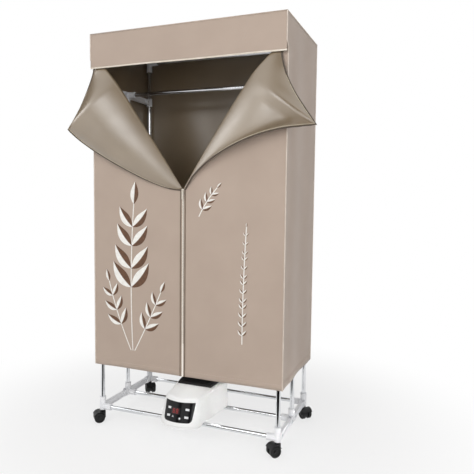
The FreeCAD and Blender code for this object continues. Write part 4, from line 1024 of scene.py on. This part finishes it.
def film(name, grids, depth_at, finish):
    """Flat grids laid as a thin film on a front surface, whose depth is asked for at each point."""
    points, faces, plan = [], [], []
    for grid in map(facing_front, grids):
        across, height = grid[..., 0], grid[..., 1]
        outside = points_of(across, depth_at(across, height) - FILM, height)
        corners, face_groups = shell(outside, FILM)
        faces += (np.concatenate(face_groups) + len(points)).tolist()
        points += corners.tolist()
        plan += grid.reshape(-1, 2).tolist() * 2
    mesh = new_mesh(name, points, faces, finish)
    set_uv(mesh, np.array(plan))
    return new_object(name, mesh)


def printed(name, sprigs):
    """One film for the white ink and one for the brown."""
    white, brown = [], []
    for measures in sprigs:
        white_grids, brown_grids = sprig(**measures)
        white += white_grids
        brown += brown_grids
    return [
        film(f"{name}_print_white", white, door_depth, white_ink),
        film(f"{name}_print_brown", brown, door_depth, brown_ink),
    ]


prints = {"left": printed("left_door", LEFT_SPRIGS), "right": printed("right_door", RIGHT_SPRIGS)}


# Marks on the heater's panel

panel_mesh = nodes["control_panel"].data
panel_faces = BVHTree.FromPolygons(
    [vertex.co for vertex in panel_mesh.vertices], [polygon.vertices for polygon in panel_mesh.polygons]
)


def panel_depth(across, height):
    """Depth of the panel's front at points across and up."""
    backward = Vector((0, 1, 0))
    starts = [Vector((x, BEFORE_PANEL, z)) for x, z in zip(np.ravel(across), np.ravel(height))]
    hits = [panel_faces.ray_cast(start, backward)[0].y for start in starts]
    return np.reshape(hits, np.shape(across))


def window_depth(across, height):
    """Depth of the front of the display's window, which is a film on the panel."""
    return panel_depth(across, height) - FILM


def rectangle(centre, width, height):
    """A flat grid of points with upright sides."""
    across = np.linspace(-width / 2, width / 2, MARK_POINTS) + centre[0]
    up = np.linspace(-height / 2, height / 2, MARK_POINTS) + centre[1]
    return points_of(*np.meshgrid(across, up))


def digit(across, height):
    """Seven bars of one number, about its centre."""
    reach = DIGIT_HEIGHT / 2
    width = DIGIT_HEIGHT * DIGIT_SLENDER
    flat_bars = [rectangle((across, height + up), width - DIGIT_BAR, DIGIT_BAR) for up in (-reach, 0, reach)]
    tall_bars = [
        rectangle((across + side * width / 2, height + up), DIGIT_BAR, reach - DIGIT_BAR)
        for side in SIDES.values()
        for up in (-reach / 2, reach / 2)
    ]
    return flat_bars + tall_bars


def ring_mark(centre, petals):
    """Small round mark of petals."""
    turns = np.linspace(0, 2 * np.pi, petals, endpoint=False)
    half = RING_RADIUS * PETAL_SLENDER
    return [blade(centre, turn, RING_RADIUS, (-half, half), count=PETAL_ROWS) for turn in turns]


digit_bars = [bar for shift in DIGIT_SHIFTS for bar in digit(DISPLAY_CENTRE[0] + shift, DISPLAY_CENTRE[1])]
ring_petals = [petal for centre, petals in RING_PETALS.items() for petal in ring_mark(centre, petals)]
marks = [
    film("display_window", [rectangle(DISPLAY_CENTRE, *DISPLAY_SIZE)], panel_depth, dark_red),
    film("display_digits", digit_bars, window_depth, lit_red),
    film("panel_marks", ring_petals, panel_depth, panel_ink),
]


# Finishes of the solids that stay; the casters' pins come after the other pins, which end in the same word

FINISH_BY_ENDING = {
    ("uprights", "rails", "middle_rail", "hanger_rail"): tube_chrome,
    ("feet", "heads", "brackets", "links"): joint_plastic,
    ("pins", "screws"): rivet_steel,
    ("hood", "wheels", "left_pins", "right_pins"): caster_plastic,
    ("zip_slider", "zip_pull"): zip_metal,
    ("heater_base", "heater_shell"): heater_plastic,
    ("control_panel",): panel_black,
    ("_key",): key_plastic,
    ("outlet_grille", "fan_wheel"): grille_plastic,
    ("heating_element",): element_aluminium,
    ("fan_motor",): motor_steel,
    ("circuit_board",): board_laminate,
    ("lead_gland",): gland_rubber,
}
for name, node in nodes.items():
    for endings, finish in FINISH_BY_ENDING.items():
        if name.endswith(endings):
            for part in node.material_slots:
                part.material = finish


# What each piece rides on and stands for

def panel_cloth(piece, solid, flat, held="hung", rests_on=("cover_roof_cloth",), **more):
    """A sheet of the cover in place of its solid, which is hidden; its flat size is not used."""
    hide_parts(solid)


def on_cover(piece):
    """A piece of the cover moves with the front frame, with a mesh of its own."""
    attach(piece, "front_frame")
    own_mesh(piece)


cover_width = 2 * HALF_WIDTH
cover_height = COVER_TOP - COVER_BOTTOM
side_size = (COVER_BACK - DOOR_FRONT, cover_height)
door_size = (HALF_WIDTH - CHAIN_HALF_WIDTH, FOLD_CORNER_HEIGHT - COVER_BOTTOM)
roof_size = (cover_width, COVER_BACK - VALANCE_FRONT)
for name in SIDES:
    panel_cloth(sides[name], f"cover_{name}_side", side_size)
    panel_cloth(doors[name]["cloth"], f"cover_{name}_door", door_size, with_pieces=prints[name])
panel_cloth(back, "cover_back", (cover_width, cover_height))
panel_cloth(roof, "cover_roof", roof_size, held="stretched", rests_on=("front_rails", "rear_rails"))
panel_cloth(valance, "cover_valance", (cover_width, COVER_TOP - VALANCE_BOTTOM))
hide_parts("zip_chain")

door_cloths = [door["cloth"] for door in doors.values()]
for piece in [*sides.values(), back, roof, valance, *door_cloths, *seams, *prints["left"], *prints["right"]]:
    on_cover(piece)
for piece in (teeth, opened_teeth):
    on_cover(piece)
for piece in marks:
    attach(piece, "heater")


# Stage, light and camera

def white_rays(tree):
    """1 for rays from the camera and for those that bounce off or go through glossy surfaces."""
    path = add_node(tree, "ShaderNodeLightPath").outputs
    white = path["Is Camera Ray"]
    for kind in ("Is Glossy Ray", "Is Transmission Ray"):
        white = add_node(tree, "ShaderNodeMath", {0: white, 1: path[kind]}, operation="MAXIMUM")
    return white


def room_shade(tree):
    """White for the eye; for reflections white with a dark room behind the camera."""
    way = add_node(tree, "ShaderNodeTexCoord").outputs["Generated"]
    towards = add_node(tree, "ShaderNodeVectorMath", {0: way, 1: DARK_ROOM_WAY}, operation="DOT_PRODUCT")
    low, high = DARK_ROOM_EDGE
    edge = {"From Min": low, "From Max": high, "To Min": 1.0, "To Max": DARK_ROOM_SHADE}
    room = add_node(tree, "ShaderNodeMapRange", {"Value": towards.outputs["Value"], **edge})
    to_the_eye = add_node(tree, "ShaderNodeLightPath").outputs["Is Camera Ray"]
    return add_node(tree, "ShaderNodeMath", {0: room, 1: to_the_eye}, operation="MAXIMUM")


def studio_world():
    """The backdrop that the eye and reflections see, and plain light on matt surfaces."""
    scene.world = bpy.data.worlds.new("studio")
    tree = empty_tree(scene.world)
    seen = add_node(tree, "ShaderNodeBackground", {"Color": room_shade(tree), "Strength": 1.0})
    plain = add_node(tree, "ShaderNodeBackground", {"Color": WHITE, "Strength": FILL_LIGHT})
    mixed = add_node(tree, "ShaderNodeMixShader", {0: white_rays(tree), 1: plain, 2: seen})
    add_node(tree, "ShaderNodeOutputWorld", {"Surface": mixed})


def pale_floor():
    """Pale floor that takes the shadow near the object and fades to the white backdrop."""
    material = bpy.data.materials.new("pale_floor")
    tree = empty_tree(material)
    place = add_node(tree, "ShaderNodeTexCoord").outputs["Object"]
    away = add_node(tree, "ShaderNodeVectorMath", {0: place}, operation="LENGTH").outputs["Value"]
    near, far = FLOOR_FADE
    edge = {"Value": away, "From Min": near, "From Max": far, "To Min": FLOOR_GLOW}
    fade = add_node(tree, "ShaderNodeMapRange", edge, interpolation_type="SMOOTHSTEP")
    share = add_node(tree, "ShaderNodeMath", {0: fade, 1: white_rays(tree)}, operation="MULTIPLY")
    matt = add_node(tree, "ShaderNodeBsdfDiffuse", {"Color": colour(FLOOR_COLOUR)})
    white = add_node(tree, "ShaderNodeEmission", {"Color": WHITE, "Strength": 1.0})
    mixed = add_node(tree, "ShaderNodeMixShader", {0: share, 1: matt, 2: white})
    add_node(tree, "ShaderNodeOutputMaterial", {"Surface": mixed})
    return material


def studio_floor():
    """A wide round floor under the object."""
    turns = np.linspace(0, 2 * np.pi, FLOOR_SIDES, endpoint=False)
    ring = [(FLOOR_RADIUS * math.cos(t), FLOOR_RADIUS * math.sin(t), cad_box[0][2]) for t in turns]
    new_object("floor", new_mesh("floor", ring, [tuple(range(FLOOR_SIDES))], pale_floor()))


def dark_card(name, corners):
    """Black card beside the object, which only reflections see."""
    material = bpy.data.materials.new("black_card")
    tree = empty_tree(material)
    matt = add_node(tree, "ShaderNodeBsdfDiffuse", {"Color": colour(CARD_COLOUR)})
    add_node(tree, "ShaderNodeOutputMaterial", {"Surface": matt})
    card = new_object(name, new_mesh(name, corners, [(0, 1, 2, 3)], material))
    card.visible_camera = False
    card.visible_diffuse = False
    card.visible_shadow = False


def soft_box(name, place, target, size, power, spread=180, only_reflected=False):
    """A square lamp that looks at the object or at one part of it."""
    lamp = bpy.data.lights.new(name, "AREA")
    lamp.shape = "SQUARE"
    lamp.size = size
    lamp.spread = math.radians(spread)
    lamp.energy = power
    holder = new_object(name, lamp)
    holder.location = place
    holder.rotation_euler = (Vector(target) - Vector(place)).to_track_quat("-Z", "Y").to_euler()
    holder.visible_diffuse = not only_reflected


def photo_camera():
    """Camera fitted to the photograph."""
    yaw, pitch, roll = (math.radians(angle) for angle in CAMERA_TURN)
    level = Matrix.Rotation(yaw, 4, "Z") @ Matrix.Rotation(math.pi / 2 - pitch, 4, "X")
    lens = bpy.data.cameras.new("camera")
    lens.lens = CAMERA_LENS
    lens.sensor_width = CAMERA_SENSOR
    scene.camera = new_object("camera", lens)
    scene.camera.matrix_world = Matrix.Translation(CAMERA_PLACE) @ level @ Matrix.Rotation(roll, 4, "Z")


scene.view_settings.view_transform = "Standard"
studio_world()
studio_floor()
for name, corners in CARDS.items():
    dark_card(name, corners)
for name, settings in LAMPS.items():
    soft_box(name, **settings)
photo_camera()
